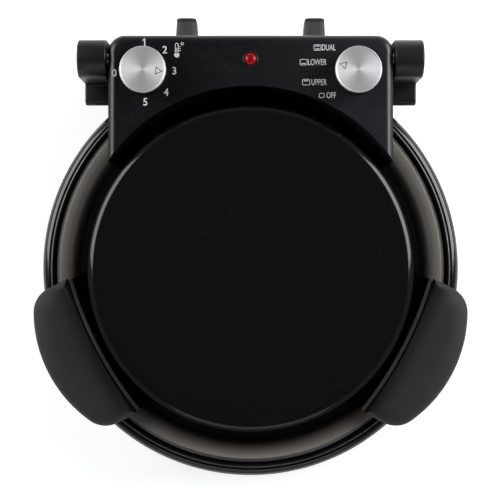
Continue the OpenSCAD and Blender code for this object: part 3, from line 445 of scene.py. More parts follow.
def handling_group():
    """Faint patches of handling and wiping, as a mask from 0 to 1."""
    group, start, end = new_group(
        "handling",
        [("Vector", VECTOR, (0, 0, 0)), ("Scale", FLOAT, 18.0), ("Amount", FLOAT, 1.0)],
        [("Mask", FLOAT)])
    broad = noise_node(group, start.outputs["Vector"], start.outputs["Scale"], 3.0, 0.6)
    finer = math_node(group, "MULTIPLY", start.outputs["Scale"], 9.0)
    streaks = noise_node(group, start.outputs["Vector"], finer, 5.0, 0.7)
    both = math_node(group, "MULTIPLY", broad, streaks)
    steep = math_node(group, "MULTIPLY_ADD", both, 4.0, -0.6)
    steep.node.use_clamp = True
    amount = math_node(group, "MULTIPLY", steep, start.outputs["Amount"])
    group.links.new(amount, end.inputs["Mask"])
    return group


def dust_group():
    """Sparse fine dust on faces that look up, as a mask from 0 to 1."""
    group, start, end = new_group(
        "dust",
        [("Vector", VECTOR, (0, 0, 0)), ("Amount", FLOAT, 0.5)],
        [("Mask", FLOAT)])
    specks = add_node(group, "TexVoronoi", {"Vector": start.outputs["Vector"],
                                            "Scale": 900.0})
    small = math_node(group, "LESS_THAN", specks.outputs["Distance"], 0.16)
    patches = noise_node(group, start.outputs["Vector"], 60.0, 3.0)
    some = math_node(group, "GREATER_THAN", patches, 0.6)
    both = math_node(group, "MULTIPLY", small, some)
    facing = add_node(group, "NewGeometry", {})
    split = add_node(group, "SeparateXYZ", {0: facing.outputs["Normal"]})
    upward = math_node(group, "GREATER_THAN", split.outputs["Z"], 0.7)
    lying = math_node(group, "MULTIPLY", both, upward)
    amount = math_node(group, "MULTIPLY", lying, start.outputs["Amount"])
    group.links.new(amount, end.inputs["Mask"])
    return group


GRAIN = grain_group()
HANDLING = handling_group()
DUST = dust_group()


class Finish:
    """A material in the making, with its shader and the piece's own coordinates."""

    def __init__(self, name, colour, rough, metal=0.0):
        self.material = bpy.data.materials.new(name)
        self.material.use_nodes = True
        self.tree = self.material.node_tree
        self.shader = self.tree.nodes["Principled BSDF"]
        self.set("Base Color", colour)
        self.set("Roughness", rough)
        self.set("Metallic", metal)
        self.place = add_node(self.tree, "TexCoord", {}).outputs["Object"]

    def set(self, socket, value):
        self.shader.inputs[socket].default_value = value

    def feed(self, socket, source):
        self.tree.links.new(source, self.shader.inputs[socket])

    def group(self, group, **values):
        node = self.tree.nodes.new("ShaderNodeGroup")
        node.node_tree = group
        self.tree.links.new(self.place, node.inputs["Vector"])
        for name, value in values.items():
            node.inputs[name.capitalize()].default_value = value
        return node.outputs[0]

    def noise(self, scale, detail=4.0, rough=0.55):
        return noise_node(self.tree, self.place, scale, detail, rough)

    def stretched(self, scale):
        """The piece's coordinates, scaled differently along each axis."""
        return add_node(self.tree, "Mapping", {"Scale": scale,
                                               "Vector": self.place}).outputs[0]

    def blend(self, factor, first, second):
        """A colour between two colours, each a constant or a socket."""
        node = self.tree.nodes.new("ShaderNodeMix")
        node.data_type = "RGBA"
        for place, value in ((6, first), (7, second), (0, factor)):
            give(self.tree, node.inputs[place], value)
        return node.outputs[2]

    def between(self, factor, low, high):
        """A value between two values, by a factor from 0 to 1."""
        return add_node(self.tree, "MapRange", {"To Min": low, "To Max": high,
                                                "Value": factor}).outputs[0]

    def span(self, value, low, high):
        """Where a value lies between two others, from 0 to 1."""
        return add_node(self.tree, "MapRange", {"From Min": low, "From Max": high,
                                                "Value": value}).outputs[0]

    def ramp(self, factor, stops):
        """A colour that runs through the stops, each a place from 0 to 1 and a colour."""
        node = add_node(self.tree, "ValToRGB", {0: factor})
        elements = node.color_ramp.elements
        elements.remove(elements[1])
        elements[0].position = stops[0][0]
        elements[0].color = stops[0][1]
        for place, colour in stops[1:]:
            elements.new(place).color = colour
        return node.outputs[0]

    def bump(self, height, strength, depth):
        """Lets a height from 0 to 1 tilt the surface, depth in millimetres."""
        node = add_node(self.tree, "Bump", {"Strength": strength, "Distance": depth * MM,
                                            "Height": height})
        self.feed("Normal", node.outputs[0])

    def along(self, axis):
        """The piece's own coordinate along one axis, in metres."""
        return add_node(self.tree, "SeparateXYZ", {0: self.place}).outputs[axis]

    def radius_from(self, x, y):
        """Distance from an upright axis, in millimetres."""
        across = math_node(self.tree, "SUBTRACT", self.along("X"), x)
        along = math_node(self.tree, "SUBTRACT", self.along("Y"), y)
        across = math_node(self.tree, "POWER", across, 2.0)
        along = math_node(self.tree, "POWER", along, 2.0)
        root = math_node(self.tree, "SQRT", math_node(self.tree, "ADD", across, along))
        return math_node(self.tree, "MULTIPLY", root, 1000.0)


# ---- finishes ----

def enamel(name, stops, gloss):
    """Black enamel, its grey and gloss set by the distance from the oven's axis; on the lid
    the grey is painted shade over the top's rounded edge and in the hollow ring, and a
    painted reflection rising to the brim.
    """
    finish = Finish(name, linear(12, 12, 13), 0.4)
    share = finish.span(finish.radius_from(0.0, AXIS_Y), 0.0, 200.0)
    tones = [(place / 200, linear(g, g * green, g * blue))
             for place, g, green, blue in stops]
    shine = [(place / 200, (value, value, value, 1)) for place, value in gloss]
    dusty = finish.group(DUST, amount=0.25)
    # On the lid this ramp paints shade into the hollow ring and a painted reflection in
    # warm grey towards the brim.
    shade = finish.ramp(share, tones)
    finish.feed("Base Color", finish.blend(dusty, shade, linear(90, 90, 88)))
    marks = finish.group(HANDLING, scale=14.0, amount=1.0)
    finish.feed("Roughness", finish.between(marks, 0.36, 0.42))
    finish.feed("Coat Weight", finish.ramp(share, shine))
    finish.set("Coat Roughness", 0.12)
    finish.set("Specular IOR Level", 0.0)
    finish.bump(finish.noise(700.0, 2.0), 0.05, 0.05)
    return finish.material


def moulded(name, colour, rough, depth, worn, shine=0.5):
    """Moulded plastic or rubber with a fine grain, rubbed a little paler in patches."""
    finish = Finish(name, colour, rough)
    finish.set("Specular IOR Level", shine)
    marks = finish.group(HANDLING, scale=22.0, amount=0.8)
    dusty = finish.group(DUST, amount=0.35)
    rubbed = finish.blend(marks, colour, worn)
    finish.feed("Base Color", finish.blend(dusty, rubbed, linear(110, 110, 108)))
    finish.feed("Roughness", finish.between(marks, rough, rough - 0.08))
    finish.bump(finish.group(GRAIN, scale=MOULD_GRAIN), 0.5, depth)
    return finish.material


def panel():
    """Satin plastic of the control panel, less glossy down its side walls, with painted
    light that keeps its left half darker and lightens it towards its right edge.
    """
    finish = Finish("panel_plastic", linear(19, 19, 22), 0.5)
    side = finish.along("X")
    # Painted light: the colour runs from darker over the panel's left half to lighter at
    # its right edge.
    across = finish.span(side, -0.02, 0.115)
    colour = finish.blend(across, linear(12, 12, 13), linear(38, 38, 43))
    marks = finish.group(HANDLING, scale=22.0, amount=0.8)
    dusty = finish.group(DUST, amount=0.3)
    rubbed = finish.blend(marks, colour, linear(26, 26, 29))
    finish.feed("Base Color", finish.blend(dusty, rubbed, linear(110, 110, 108)))
    away = math_node(finish.tree, "ABSOLUTE", side)
    outwards = finish.span(away, 0.1148, 0.1163)
    finish.feed("Coat Weight", finish.between(outwards, 0.75, 0.12))
    finish.set("Coat Roughness", 0.3)
    finish.set("Specular IOR Level", 0.0)
    finish.bump(finish.group(GRAIN, scale=MOULD_GRAIN), 0.4, 0.012)
    return finish.material


def bracket_painted_light():
    """Brackets painted a deeper black than their moulding as shade, with a painted
    highlight in grey on the lip along the seam.
    """
    finish = Finish("bracket_painted_light", linear(4, 4, 4), 0.4)
    # Painted highlight: above this height the lip turns grey; below it the bracket keeps
    # its painted-shade black.
    lip = finish.span(finish.along("Z"), 0.1075, 0.1095)
    cloud = finish.noise(90.0, 3.0)
    grey = finish.blend(cloud, linear(50, 50, 51), linear(64, 64, 64))
    finish.feed("Base Color", finish.blend(lip, linear(4, 4, 4), grey))
    finish.feed("Coat Weight", finish.between(lip, 0.03, 0.5))
    finish.set("Coat Roughness", 0.15)
    finish.set("Specular IOR Level", 0.0)
    finish.bump(finish.group(GRAIN, scale=MOULD_GRAIN), 0.3, 0.01)
    return finish.material


def metal(name, colour, tint, rough, scale, stretch=(1, 1, 1), depth=0.01):
    """Bare metal, clouded between two tones, with rolling or drawing marks."""
    finish = Finish(name, colour, rough, 1.0)
    clouds = finish.group(HANDLING, scale=scale, amount=1.0)
    finish.feed("Base Color", finish.blend(clouds, colour, tint))
    lines = noise_node(finish.tree, finish.stretched(stretch), 900.0, 3.0)
    finish.feed("Roughness", finish.between(lines, rough - 0.06, rough + 0.1))
    finish.bump(lines, 0.3, depth)
    return finish.material


def spun_metal(name, x):
    """Aluminium spun on a lathe: fine rings about the knob's axis."""
    finish = Finish(name, (0.78, 0.78, 0.79, 1.0), 0.3, 1.0)
    radius = finish.radius_from(x * MM, AXIS_Y + KNOB_Y * MM)
    rings = add_node(finish.tree, "TexNoise", {"Scale": 1.6, "Detail": 8.0,
                                               "Roughness": 0.75})
    rings.noise_dimensions = "1D"
    finish.tree.links.new(radius, rings.inputs["W"])
    turning = rings.outputs["Fac"]
    shade = finish.blend(turning, (0.58, 0.57, 0.59, 1.0), (0.84, 0.83, 0.85, 1.0))
    finish.feed("Base Color", shade)
    finish.feed("Roughness", finish.between(turning, 0.5, 0.64))
    finish.set("Anisotropic", 0.4)
    finish.set("Anisotropic Rotation", 0.25)
    tangent = add_node(finish.tree, "Tangent", {})
    tangent.direction_type = "RADIAL"
    tangent.axis = "Z"
    finish.feed("Tangent", tangent.outputs[0])
    finish.bump(turning, 0.25, 0.004)
    return finish.material


def glowing_red():
    """Red lamp plastic, a little lit from inside."""
    finish = Finish("lamp_red", linear(140, 4, 8), 0.3)
    cloud = finish.noise(420.0, 3.0)
    finish.feed("Base Color", finish.blend(cloud, linear(110, 2, 5), linear(160, 6, 10)))
    finish.set("Specular IOR Level", 0.1)
    finish.set("Coat Weight", 0.35)
    finish.set("Coat Roughness", 0.05)
    finish.set("Emission Color", linear(190, 10, 16))
    finish.set("Emission Strength", 0.05)
    finish.bump(finish.noise(1500.0), 0.05, 0.02)
    return finish.material


def stone():
    """Baking stone: pale buff with fine sand specks and a few browned patches."""
    finish = Finish("baking_stone", linear(199, 182, 152), 0.92)
    sand = finish.noise(1400.0, 6.0, 0.7)
    specks = add_node(finish.tree, "TexVoronoi", {"Scale": 620.0, "Vector": finish.place})
    dark = math_node(finish.tree, "LESS_THAN", specks.outputs["Distance"], 0.2)
    body = finish.blend(sand, linear(184, 166, 136), linear(214, 199, 172))
    speckled = finish.blend(math_node(finish.tree, "MULTIPLY", dark, 0.45), body,
                            linear(122, 102, 80))
    browned = finish.span(finish.noise(9.0, 4.0), 0.56, 0.8)
    finish.feed("Base Color", finish.blend(browned, speckled, linear(160, 128, 92)))
    finish.bump(sand, 0.6, 0.12)
    return finish.material


def ceramic():
    """Glazed white ceramic of the terminal block."""
    finish = Finish("terminal_ceramic", linear(228, 224, 214), 0.4)
    cloud = finish.noise(160.0)
    finish.feed("Base Color", finish.blend(cloud, linear(216, 210, 198),
                                           linear(236, 233, 226)))
    finish.set("Coat Weight", 0.4)
    finish.bump(finish.noise(900.0), 0.2, 0.03)
    return finish.material


def sleeve():
    """Woven glass sleeve on the wires."""
    finish = Finish("wire_sleeve", linear(92, 66, 48), 0.7)
    weave = add_node(finish.tree, "TexWave", {"Scale": 420.0, "Distortion": 3.0,
                                              "Vector": finish.place})
    threads = weave.outputs["Fac"]
    finish.feed("Base Color", finish.blend(threads, linear(70, 48, 34),
                                           linear(120, 92, 70)))
    finish.bump(threads, 0.4, 0.08)
    return finish.material


def ink(name, colour):
    """Printed marking, a little uneven as screen print is."""
    finish = Finish(name, colour, 0.55)
    uneven = finish.noise(1800.0, 3.0)
    thin = tuple(c * 0.86 for c in colour[:3]) + (1.0,)
    finish.feed("Base Color", finish.blend(uneven, thin, colour))
    finish.bump(uneven, 0.1, 0.01)
    return finish.material


COOL = (1.0, 1.03)
PAINTED_LIGHT_TINT = (0.965, 0.92)
# The lid's own black on its raised top, then painted shade over the top's rounded edge and
# down into the hollow ring, then a painted reflection in warm grey rising to the brim.
RING_TONES_AND_PAINTED_LIGHT = [(0, 17, *COOL), (127, 15, *COOL), (133.5, 7, *COOL), (146.5, 4, *COOL),
              (149, 12, *PAINTED_LIGHT_TINT), (151.5, 38, *PAINTED_LIGHT_TINT), (154, 64, *PAINTED_LIGHT_TINT), (156.5, 86, *PAINTED_LIGHT_TINT),
              (159, 106, *PAINTED_LIGHT_TINT), (161, 120, *PAINTED_LIGHT_TINT), (163, 132, *PAINTED_LIGHT_TINT), (164, 60, *PAINTED_LIGHT_TINT)]
BASE_TONES = [(0, 6, *COOL), (200, 6, *COOL)]
RING_GLOSS = [(0, 0.55), (131, 0.7), (133.2, 0.02), (152, 0.0), (158, 0.2), (164, 0.4)]
MAT = {
    "lid_enamel": enamel("lid_enamel", RING_TONES_AND_PAINTED_LIGHT, RING_GLOSS),
    "base_enamel": enamel("base_enamel", BASE_TONES, [(0, 0.9), (200, 0.9)]),
    "dark_trim": metal("dark_trim", (0.05, 0.05, 0.05, 1), (0.09, 0.088, 0.085, 1), 0.3,
                       40.0),
    "moulded_black": moulded("moulded_black", linear(16, 16, 17), 0.42, 0.04,
                             linear(24, 24, 25), 0.4),
    "bracket_painted_light": bracket_painted_light(),
    "panel_plastic": panel(),
    "handle_grip": moulded("handle_grip", linear(37, 37, 39), 0.68, 0.04,
                           linear(42, 42, 43), 0.3),
    "storage_foot": moulded("storage_post", linear(52, 51, 52), 0.7, 0.06,
                            linear(60, 60, 60)),
    "foot_pad": moulded("foot_pad", linear(30, 30, 31), 0.75, 0.06, linear(40, 40, 40)),
    "foot_rubber": moulded("foot_rubber", linear(42, 42, 42), 0.8, 0.06,
                           linear(52, 52, 51)),
    "knob_plastic": moulded("knob_plastic", linear(20, 20, 22), 0.35, 0.02,
                            linear(28, 28, 30)),
    "switch_body": moulded("switch_body", linear(58, 49, 42), 0.5, 0.05,
                           linear(70, 60, 52)),
    "fastener_steel": metal("zinc_steel", (0.56, 0.57, 0.6, 1), (0.66, 0.66, 0.62, 1),
                            0.3, 300.0),
    "bracket_steel": metal("bracket_steel", (0.5, 0.51, 0.53, 1), (0.62, 0.62, 0.6, 1),
                           0.36, 60.0, (1, 8, 1)),
    "pressed_sheet": metal("aluminised_sheet", (0.4, 0.4, 0.41, 1),
                           (0.5, 0.49, 0.47, 1), 0.42, 30.0, (1, 6, 1)),
    "heater_tube": metal("heater_tube", (0.11, 0.1, 0.095, 1), (0.2, 0.16, 0.12, 1),
                         0.45, 80.0),
    "bush_brass": metal("brass", (0.6, 0.42, 0.17, 1), (0.5, 0.36, 0.16, 1), 0.3, 200.0),
    "left_face": spun_metal("left_spun_face", -KNOB_X),
    "right_face": spun_metal("right_spun_face", KNOB_X),
    "lamp_red": glowing_red(),
    "baking_stone": stone(),
    "insulator": ceramic(),
    "wire_sleeve": sleeve(),
    "print": ink("print_grey", linear(214, 214, 216)),
    "pointer": ink("pointer_paint", linear(40, 40, 42)),
}


def dress_frame():
    """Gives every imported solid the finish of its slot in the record."""
    same = {"body_black": "base_enamel", "spun_aluminium": "left_face"}
    for part in frame["record"]["subparts"]:
        node = frame["nodes"][part["node"]]
        slot = part["material_slot"]
        node.data.materials.clear()
        node.data.materials.append(MAT[same.get(slot, slot)])


# ---- lid ----

def lid_outline(gap=0.0):
    """The lid's upper outline from the axis to the brim, moved outwards by the gap."""
    edge = [(DRUM_R - EDGE_W + (EDGE_W + gap) * math.sin(math.radians(a)),
             LID_TOP - DRUM_EDGE + (DRUM_EDGE + gap) * math.cos(math.radians(a)))
            for a in range(0, 91, 6)]
    return ([(0, LID_TOP + gap), (DRUM_R - EDGE_W - 1, LID_TOP + gap)] + edge
            + arc(DRUM_R + COVE_R, BRIM_Z + COVE_R, COVE_R - gap, 180, 270, 28)
            + [(BRIM_R - ROLL_R, BRIM_Z + gap)])


def lid_form():
    """Solid as large as the lid with a fine gap around it, for cutting seats."""
    outline = lid_outline(SEAT_GAP)
    outline += [(BRIM_R + 30, BRIM_Z + SEAT_GAP), (BRIM_R + 30, 60), (0, 60)]
    return turned("lid_form", outline)


def lid_shell():
    """Pressed lid with its raised top, hollow ring, brim and rolled edge."""
    under = lid_outline(-LID_SHEET)[-2::-1]
    roll = arc(BRIM_R - ROLL_R, BRIM_Z - ROLL_R, ROLL_R, 75, -190, 20)
    piece = turned("lid_cover", lid_outline() + roll + under, 224)
    placed(smoothed(piece), "lid_enamel", "lid", "body_black", "lid_shell")


def reflector():
    """Pressed reflector over the upper heater, with a stiffening bead."""
    under = CEILING_Z - CEILING_SHEET
    upper = ([(0, CEILING_Z), (58, CEILING_Z)] + arc(62, CEILING_Z, 2.5, 180, 360, 8)
             + [(68, CEILING_Z), (112, CEILING_Z)] + arc(113, 119, 7, 85, 30, 6)
             + [(139.5, 91.2), (141.5, 88.4), (144, 88.2), (160.8, 88.2)])
    lower = ([(160.8, 87.2), (143, 87.2), (140, 88.4), (118.4, 121.6), (116.5, 123.9),
              (113.5, under), (70, under)]
             + arc(62, under, 3.3, 340, 200, 8) + [(54, under), (0, under)])
    piece = turned("heat_reflector", upper + lower)
    placed(smoothed(piece), "pressed_sheet", "lid", "pressed_sheet", "reflector")


# ---- base ----

def tub_outline(inset):
    """Outer outline of the base from the underside to the rim, moved inwards."""
    low = (UNDERSIDE_R, UNDER_Z + 28)
    high = (BASE_R - 8, RIM_Z - 8)
    span = math.hypot(high[0] - low[0], high[1] - low[1])
    rise = math.degrees(math.atan2(high[1] - low[1], high[0] - low[0]))
    lean = rise - math.degrees(math.acos(20 / span))
    return (arc(low[0], low[1], 28 - inset, -90, lean, 20)
            + arc(high[0], high[1], 8 - inset, lean, 90, 14))


def base_shell():
    """Drawn base shell with its rim, its ledge for the pan and its open underside."""
    inner = tub_outline(2.5)[::-1]
    outline = (tub_outline(0)
               + [(MOUTH_R + 0.6, RIM_Z), (MOUTH_R, RIM_Z - 0.6), (MOUTH_R, LEDGE_Z)]
               + [(PAN_R + 0.2, LEDGE_Z), (PAN_R + 0.2, LEDGE_Z - 2.5)]
               + [(BASE_R - 10.5, LEDGE_Z - 2.5)]
               + inner[8:] + [(130, UNDER_Z + 2.5), (130, UNDER_Z + 2.4)]
               + [(140.2, UNDER_Z + 2.4), (140.2, UNDER_Z)])
    piece = turned("base_tub", outline + outline[:1], 224)
    placed(smoothed(piece), "base_enamel", "base", "body_black", "base_shell")


def trim_ring():
    """Round bead let into the rim."""
    outline = arc(TRIM_R, RIM_Z, TRIM_BEAD, 0, 360, 24)
    piece = turned("rim_bead", outline, 256)
    placed(smoothed(piece, 60), "dark_trim", "base", "dark_trim", "trim_ring")


def base_pan():
    """Pressed pan under the stone, with a curled flange on the ledge."""
    floor_r = PAN_R - 8
    outer = ([(0, PAN_FLOOR - 1), (floor_r - 1, PAN_FLOOR - 1)]
             + arc(floor_r, PAN_FLOOR + 7, 8, -90, 0, 8)
             + [(PAN_R, LEDGE_Z + 0.1), (PAN_R + 0.3, LEDGE_Z)]
             + [(MOUTH_R - 0.8, LEDGE_Z), (MOUTH_R - 0.3, LEDGE_Z + 0.5),
                (MOUTH_R - 0.8, LEDGE_Z + 1)])
    inner = ([(PAN_R - 0.4, LEDGE_Z + 1), (PAN_R - 1, LEDGE_Z + 0.4)]
             + arc(floor_r, PAN_FLOOR + 7, 7, 0, -90, 8)
             + [(floor_r - 1, PAN_FLOOR), (0, PAN_FLOOR)])
    piece = turned("base_pan_pressing", outer + inner)
    placed(smoothed(piece), "pressed_sheet", "base", "pressed_sheet", "base_pan")


def pizza_stone():
    """Round baking stone with worn round edges."""
    rim = STONE_R - 2
    outline = ([(0, STONE_LOW), (rim - 1.5, STONE_LOW)]
               + arc(rim, STONE_LOW + 2, 2, -90, 0, 6)
               + arc(rim, STONE_TOP - 2, 2, 0, 90, 6)
               + [(rim - 1.5, STONE_TOP), (0, STONE_TOP)])
    piece = turned("stone_disc", outline)
    placed(smoothed(piece), "baking_stone", "stone", "baking_stone", "pizza_stone")


# ---- control housing ----

def housing_form(name, inset, bottom):
    """Block of the housing, its corners and edges rounded, moved inwards."""
    rear = HOUSING_REAR - inset
    half = HALF_W - inset
    top = PANEL_Z - inset
    middle = at(0, (rear + 40) / 2, (top + bottom) / 2)
    piece = block(name, middle, 2 * half, rear - 40, top - bottom)
    edit(piece)
    rear_y = at(0, rear, 0).y
    top_z = top * MM
    pick(piece, "EDGE", lambda a, b: abs(a.y - rear_y) < 1e-5 and abs(b.y - rear_y) < 1e-5
         and abs(a.z - b.z) > 0.01)
    rounded(14 - inset, 14)
    front_y = at(0, 40, 0).y
    pick(piece, "EDGE", lambda a, b: abs(a.z - top_z) < 1e-5 and abs(b.z - top_z) < 1e-5
         and (a.y > front_y + 1e-4 or b.y > front_y + 1e-4))
    rounded(7 - inset, 10)
    object_mode()
    return piece


def drum(name, radius, low, high, steps, centre):
    """Upright drum, for cutting round forms."""
    return turned(name, [(0, low), (radius, low), (radius, high), (0, high)], steps, centre)


def tail_form():
    """Everything behind and under the housing's curved tail."""
    outline = ([(HINGE_Y, 40), (HINGE_Y, HINGE_Z - TAIL_R)]
               + arc(HINGE_Y, HINGE_Z, TAIL_R, 270, 341, 16)[1:]
               + [(240, 114.3), (240, 40)])
    return side_plate("tail_form", outline, -200, 200)


def control_housing():
    """Control housing with its hollow front edge, seated on the lid."""
    piece = housing_form("control_panel_housing", 0, 80)
    cut(piece, drum("front_form", FRONT_R, 60, 170, 512, (0, FRONT_Y)))
    edit(piece)
    centre = at(0, FRONT_Y, 0)
    edge_r = FRONT_R * MM

    def on_front(point):
        away = math.hypot(point.x - centre.x, point.y - centre.y)
        return abs(away - edge_r) < 4e-5 and point.z > 0.1

    pick(piece, "EDGE", lambda a, b: on_front(a) and on_front(b)
         and math.hypot(a.x - b.x, a.y - b.y) > 1e-5)
    rounded(1.3, 5)
    object_mode()
    inner = housing_form("inner_form", HOUSING_WALL, 70)
    cut(inner, drum("behind_form", FRONT_R + HOUSING_WALL, 60, 170, 192, (0, FRONT_Y)))
    cut(piece, inner)
    cut(piece, lid_form())
    cut(piece, tail_form())
    corners = [(-200, 40), (200, 40), (200, 240), (-200, 240)]
    cut(piece, plate("floor_form", corners, 60, 90))
    for place in ((-KNOB_X, KNOB_Y), (KNOB_X, KNOB_Y), (0, LAMP_Y)):
        cut(piece, drum("hole_form", SHAFT_HOLE_R, 130, 150, 48, place))
    placed(smoothed(piece), "panel_plastic", "lid", "panel_plastic",
           "control_housing")


# ---- handles ----

def handle_point(out, along):
    """A place in the right handle's own directions, as x and y from the oven's axis."""
    turn = math.radians(HANDLE_DEG)
    return (out * math.cos(turn) + along * math.sin(turn),
            along * math.cos(turn) - out * math.sin(turn))


def handle_places(outline):
    """An outline in the handle's own directions, as places of the oven."""
    return [handle_point(out, along) for out, along in outline]


def handle_outline(reach):
    """Outline of a handle: outer curve, round corners and straight ends."""
    outer_c = reach - 113.5
    corner_t = HANDLE_HALF - 22.3
    corner_u = outer_c + math.sqrt((113.5 - 22.3) ** 2 - corner_t ** 2)
    touch = math.degrees(math.asin(corner_t / (113.5 - 22.3)))
    inner = SEAM_U - 6
    return (arc(corner_u, -corner_t, 22.3, -90, -touch, 14)
            + arc(outer_c, 0, 113.5, -touch, touch, 40)[1:-1]
            + arc(corner_u, corner_t, 22.3, touch, 90, 14)
            + [(inner, HANDLE_HALF), (inner, -HANDLE_HALF)])


def seam_arc(inset, half, steps):
    """Points along the seam between handle and bracket."""
    reach = math.degrees(math.asin(half / SEAM_R))
    return arc(SEAM_U - SEAM_R, 0, SEAM_R - inset, -reach, reach, steps)


def grip_body(name, reach, low):
    """Crowned grip, stepped inwards above and below its widest line."""
    widest = low + 0.36 * GRIP_H
    piece = plate(name, handle_places(handle_outline(reach)), widest - 0.4, widest + 0.4)
    edit(piece)
    pick(piece, "FACE", lambda middle, normal: normal.z > 0.9)
    crown(quarter(17, 0.64 * GRIP_H - 0.45, 16))
    pick(piece, "FACE", lambda middle, normal: normal.z < -0.9)
    crown(quarter(3, 0.36 * GRIP_H - 0.4, 7))
    object_mode()
    return piece


def seam_form(name, inset, half, low, high):
    """Solid on the oven's side of the seam."""
    outline = seam_arc(inset, half, 60) + [(60, half), (60, -half)]
    return plate(name, handle_places(outline), low, high)


def lid_handles():
    """Left and right lid handles, each with a fine round on its seam."""
    piece = grip_body("right_handle", HANDLE_REACH, GRIP_Z)
    cut(piece, seam_form("seam_form", 0, 90, 80, 130))
    centre = at(*handle_point(SEAM_U - SEAM_R, 0), 0)

    def on_seam(point):
        away = math.hypot(point.x - centre.x, point.y - centre.y)
        return abs(away - SEAM_R * MM) < 5e-5

    edit(piece)
    bpy.ops.mesh.select_mode(type="EDGE")
    bpy.ops.mesh.select_all(action="DESELECT")
    mesh = bmesh.from_edit_mesh(piece.data)
    for edge in mesh.edges:
        both = on_seam(edge.verts[0].co) and on_seam(edge.verts[1].co)
        faces = [on_seam(face.calc_center_median()) and abs(face.normal.z) < 0.2
                 for face in edge.link_faces]
        edge.select_set(both and any(faces) and not all(faces))
    mesh.select_flush_mode()
    bmesh.update_edit_mesh(piece.data)
    rounded(0.6, 3)
    placed_pair(smoothed(piece, 40), "handle_grip", "lid", "handle_grip", "handle_right")


def base_grips():
    """Grips on the base, under the lid handles, fitted to its curved side."""
    piece = grip_body("right_base_grip", BASE_GRIP_REACH, BASE_GRIP_Z)
    section = ([(0, UNDER_Z - SEAT_GAP)] + tub_outline(-SEAT_GAP)
               + [(0, RIM_Z + SEAT_GAP)])
    cut(piece, turned("tub_form", section))
    placed_pair(smoothed(piece, 40), "handle_grip", "base", "handle_grip",
                "base_grip_right")


def handle_brackets():
    """Black brackets between lid and handles, with the raised lip along the seam."""
    half = HANDLE_HALF - 2
    ring = seam_arc(1.3, half, 40) + [(110, half), (110, -half)]
    piece = plate("right_bracket", handle_places(ring), 88.8, 110)
    cut(piece, seam_form("channel_form", 4.3, 80, 105, 120))
    foot = [(SEAM_U - 9, -44), (BRIM_R + 15.5, -44), (BRIM_R + 15.5, 44),
            (SEAM_U - 9, 44)]
    cut(piece, plate("tongue", handle_places(foot), 92.8, 96.8), "UNION")
    cut(piece, lid_form())
    softened(piece, 0.35, 2)
    placed_pair(smoothed(piece, 40), "bracket_painted_light", "lid", "moulded_black",
                "handle_bracket_right")


# ---- hinge towers and rear housing ----

def hinge_spun(name, section, steps):
    """Spins a section of x places and radii about the hinge axis."""
    piece = drawn(name, [at(x, HINGE_Y + r, HINGE_Z) for x, r in section])
    spun(steps, at(0, HINGE_Y, HINGE_Z), (1, 0, 0))
    return piece


def hinge_towers():
    """Towers with round knuckles, standing on the rear housing."""
    front = HINGE_Y - KNUCKLE_R - 17.5
    back = HINGE_Y + KNUCKLE_R
    outline = (arc(front + 13, 35, 5, 190, 270, 6) + arc(back - 5, 35, 5, 270, 360, 6)
               + arc(HINGE_Y, HINGE_Z, KNUCKLE_R, 0, 180, 28)
               + arc(HINGE_Y - KNUCKLE_R - 1.5, 86.5, 1.5, 0, -90, 4)
               + arc(front + 5, 80, 5, 90, 180, 8))
    piece = side_plate("right_tower", outline, TOWER_IN, TOWER_OUT)
    softened(piece, 1.6, 4)
    for name, low, high, radius, steps in (
            ("recess_form", CAP_SEAT, TOWER_OUT + 5, 14, 64),
            ("bore_form", TOWER_IN - 5, 131, 4.55, 48)):
        section = [(low, 0), (low, radius), (high, radius), (high, 0)]
        cut(piece, hinge_spun(name, section, steps))
    placed_pair(smoothed(piece, 40), "moulded_black", "base", "moulded_black",
                "hinge_tower_right")


def hinge_caps():
    """Slightly domed caps that close the knuckles."""
    profile = [(0, 0), (0, 13.4), (0.4, 13.8), (1.7, 13.8), (2.1, 13.4), (2.1, 12.2),
               (1.8, 12.0), (1.8, 11.6), (2.2, 11.3), (2.7, 9), (3.05, 5), (3.2, 0)]
    section = [(CAP_SEAT + out, r) for out, r in profile]
    piece = smoothed(hinge_spun("right_hinge_cap", section, 96), 40)
    placed_pair(piece, "moulded_black", "base", "moulded_black", "hinge_cap_right")


def end_pad():
    """Soft end pad of a storage foot."""
    middle = at(STORAGE_X, REAR_WALL + 19.6, STORAGE_Z)
    piece = block("right_storage_pad", middle, 17, 2.8, 42)
    edit(piece)
    pick(piece, "EDGE", lambda a, b: abs(a.y - b.y) > 0.002)
    rounded(5, 8)
    softened(piece, 0.5, 3, 60)
    return smoothed(piece, 40)


def storage_feet():
    """Posts that the oven stands on when it is stored on its back."""
    middle = at(STORAGE_X, REAR_WALL + 8.75, STORAGE_Z)
    piece = block("right_storage_foot", middle, 19, 17.5, 44)
    edit(piece)
    pick(piece, "EDGE", lambda a, b: abs(a.y - b.y) > 0.01)
    rounded(5.5, 8)
    far_y = at(0, REAR_WALL + 17.5, 0).y
    pick(piece, "FACE", lambda middle, normal: middle.y > far_y - 1e-5)
    centre = at(STORAGE_X, REAR_WALL + 17.5, STORAGE_Z)
    bpy.ops.transform.resize(value=(0.912, 1, 0.965), center_override=centre)
    bpy.ops.mesh.inset(thickness=0.8 * MM, depth=0)
    out = {"value": (0, 0.8 * MM, 0)}
    bpy.ops.mesh.extrude_region_move(TRANSFORM_OT_translate=out)
    smoothed(piece, 30)
    pad = end_pad()
    placed_pair(piece, "storage_foot", "base", "storage_foot", "storage_foot_right")
    placed_pair(pad, "foot_pad", "base", "storage_foot", "storage_foot_right")


def inlet_spun(name, section, steps):
    """Spins a section of radii and y places about the inlet's axis."""
    piece = drawn(name, [at(r, y, INLET_Z) for r, y in section])
    spun(steps, at(0, 0, INLET_Z), (0, 1, 0))
    return piece


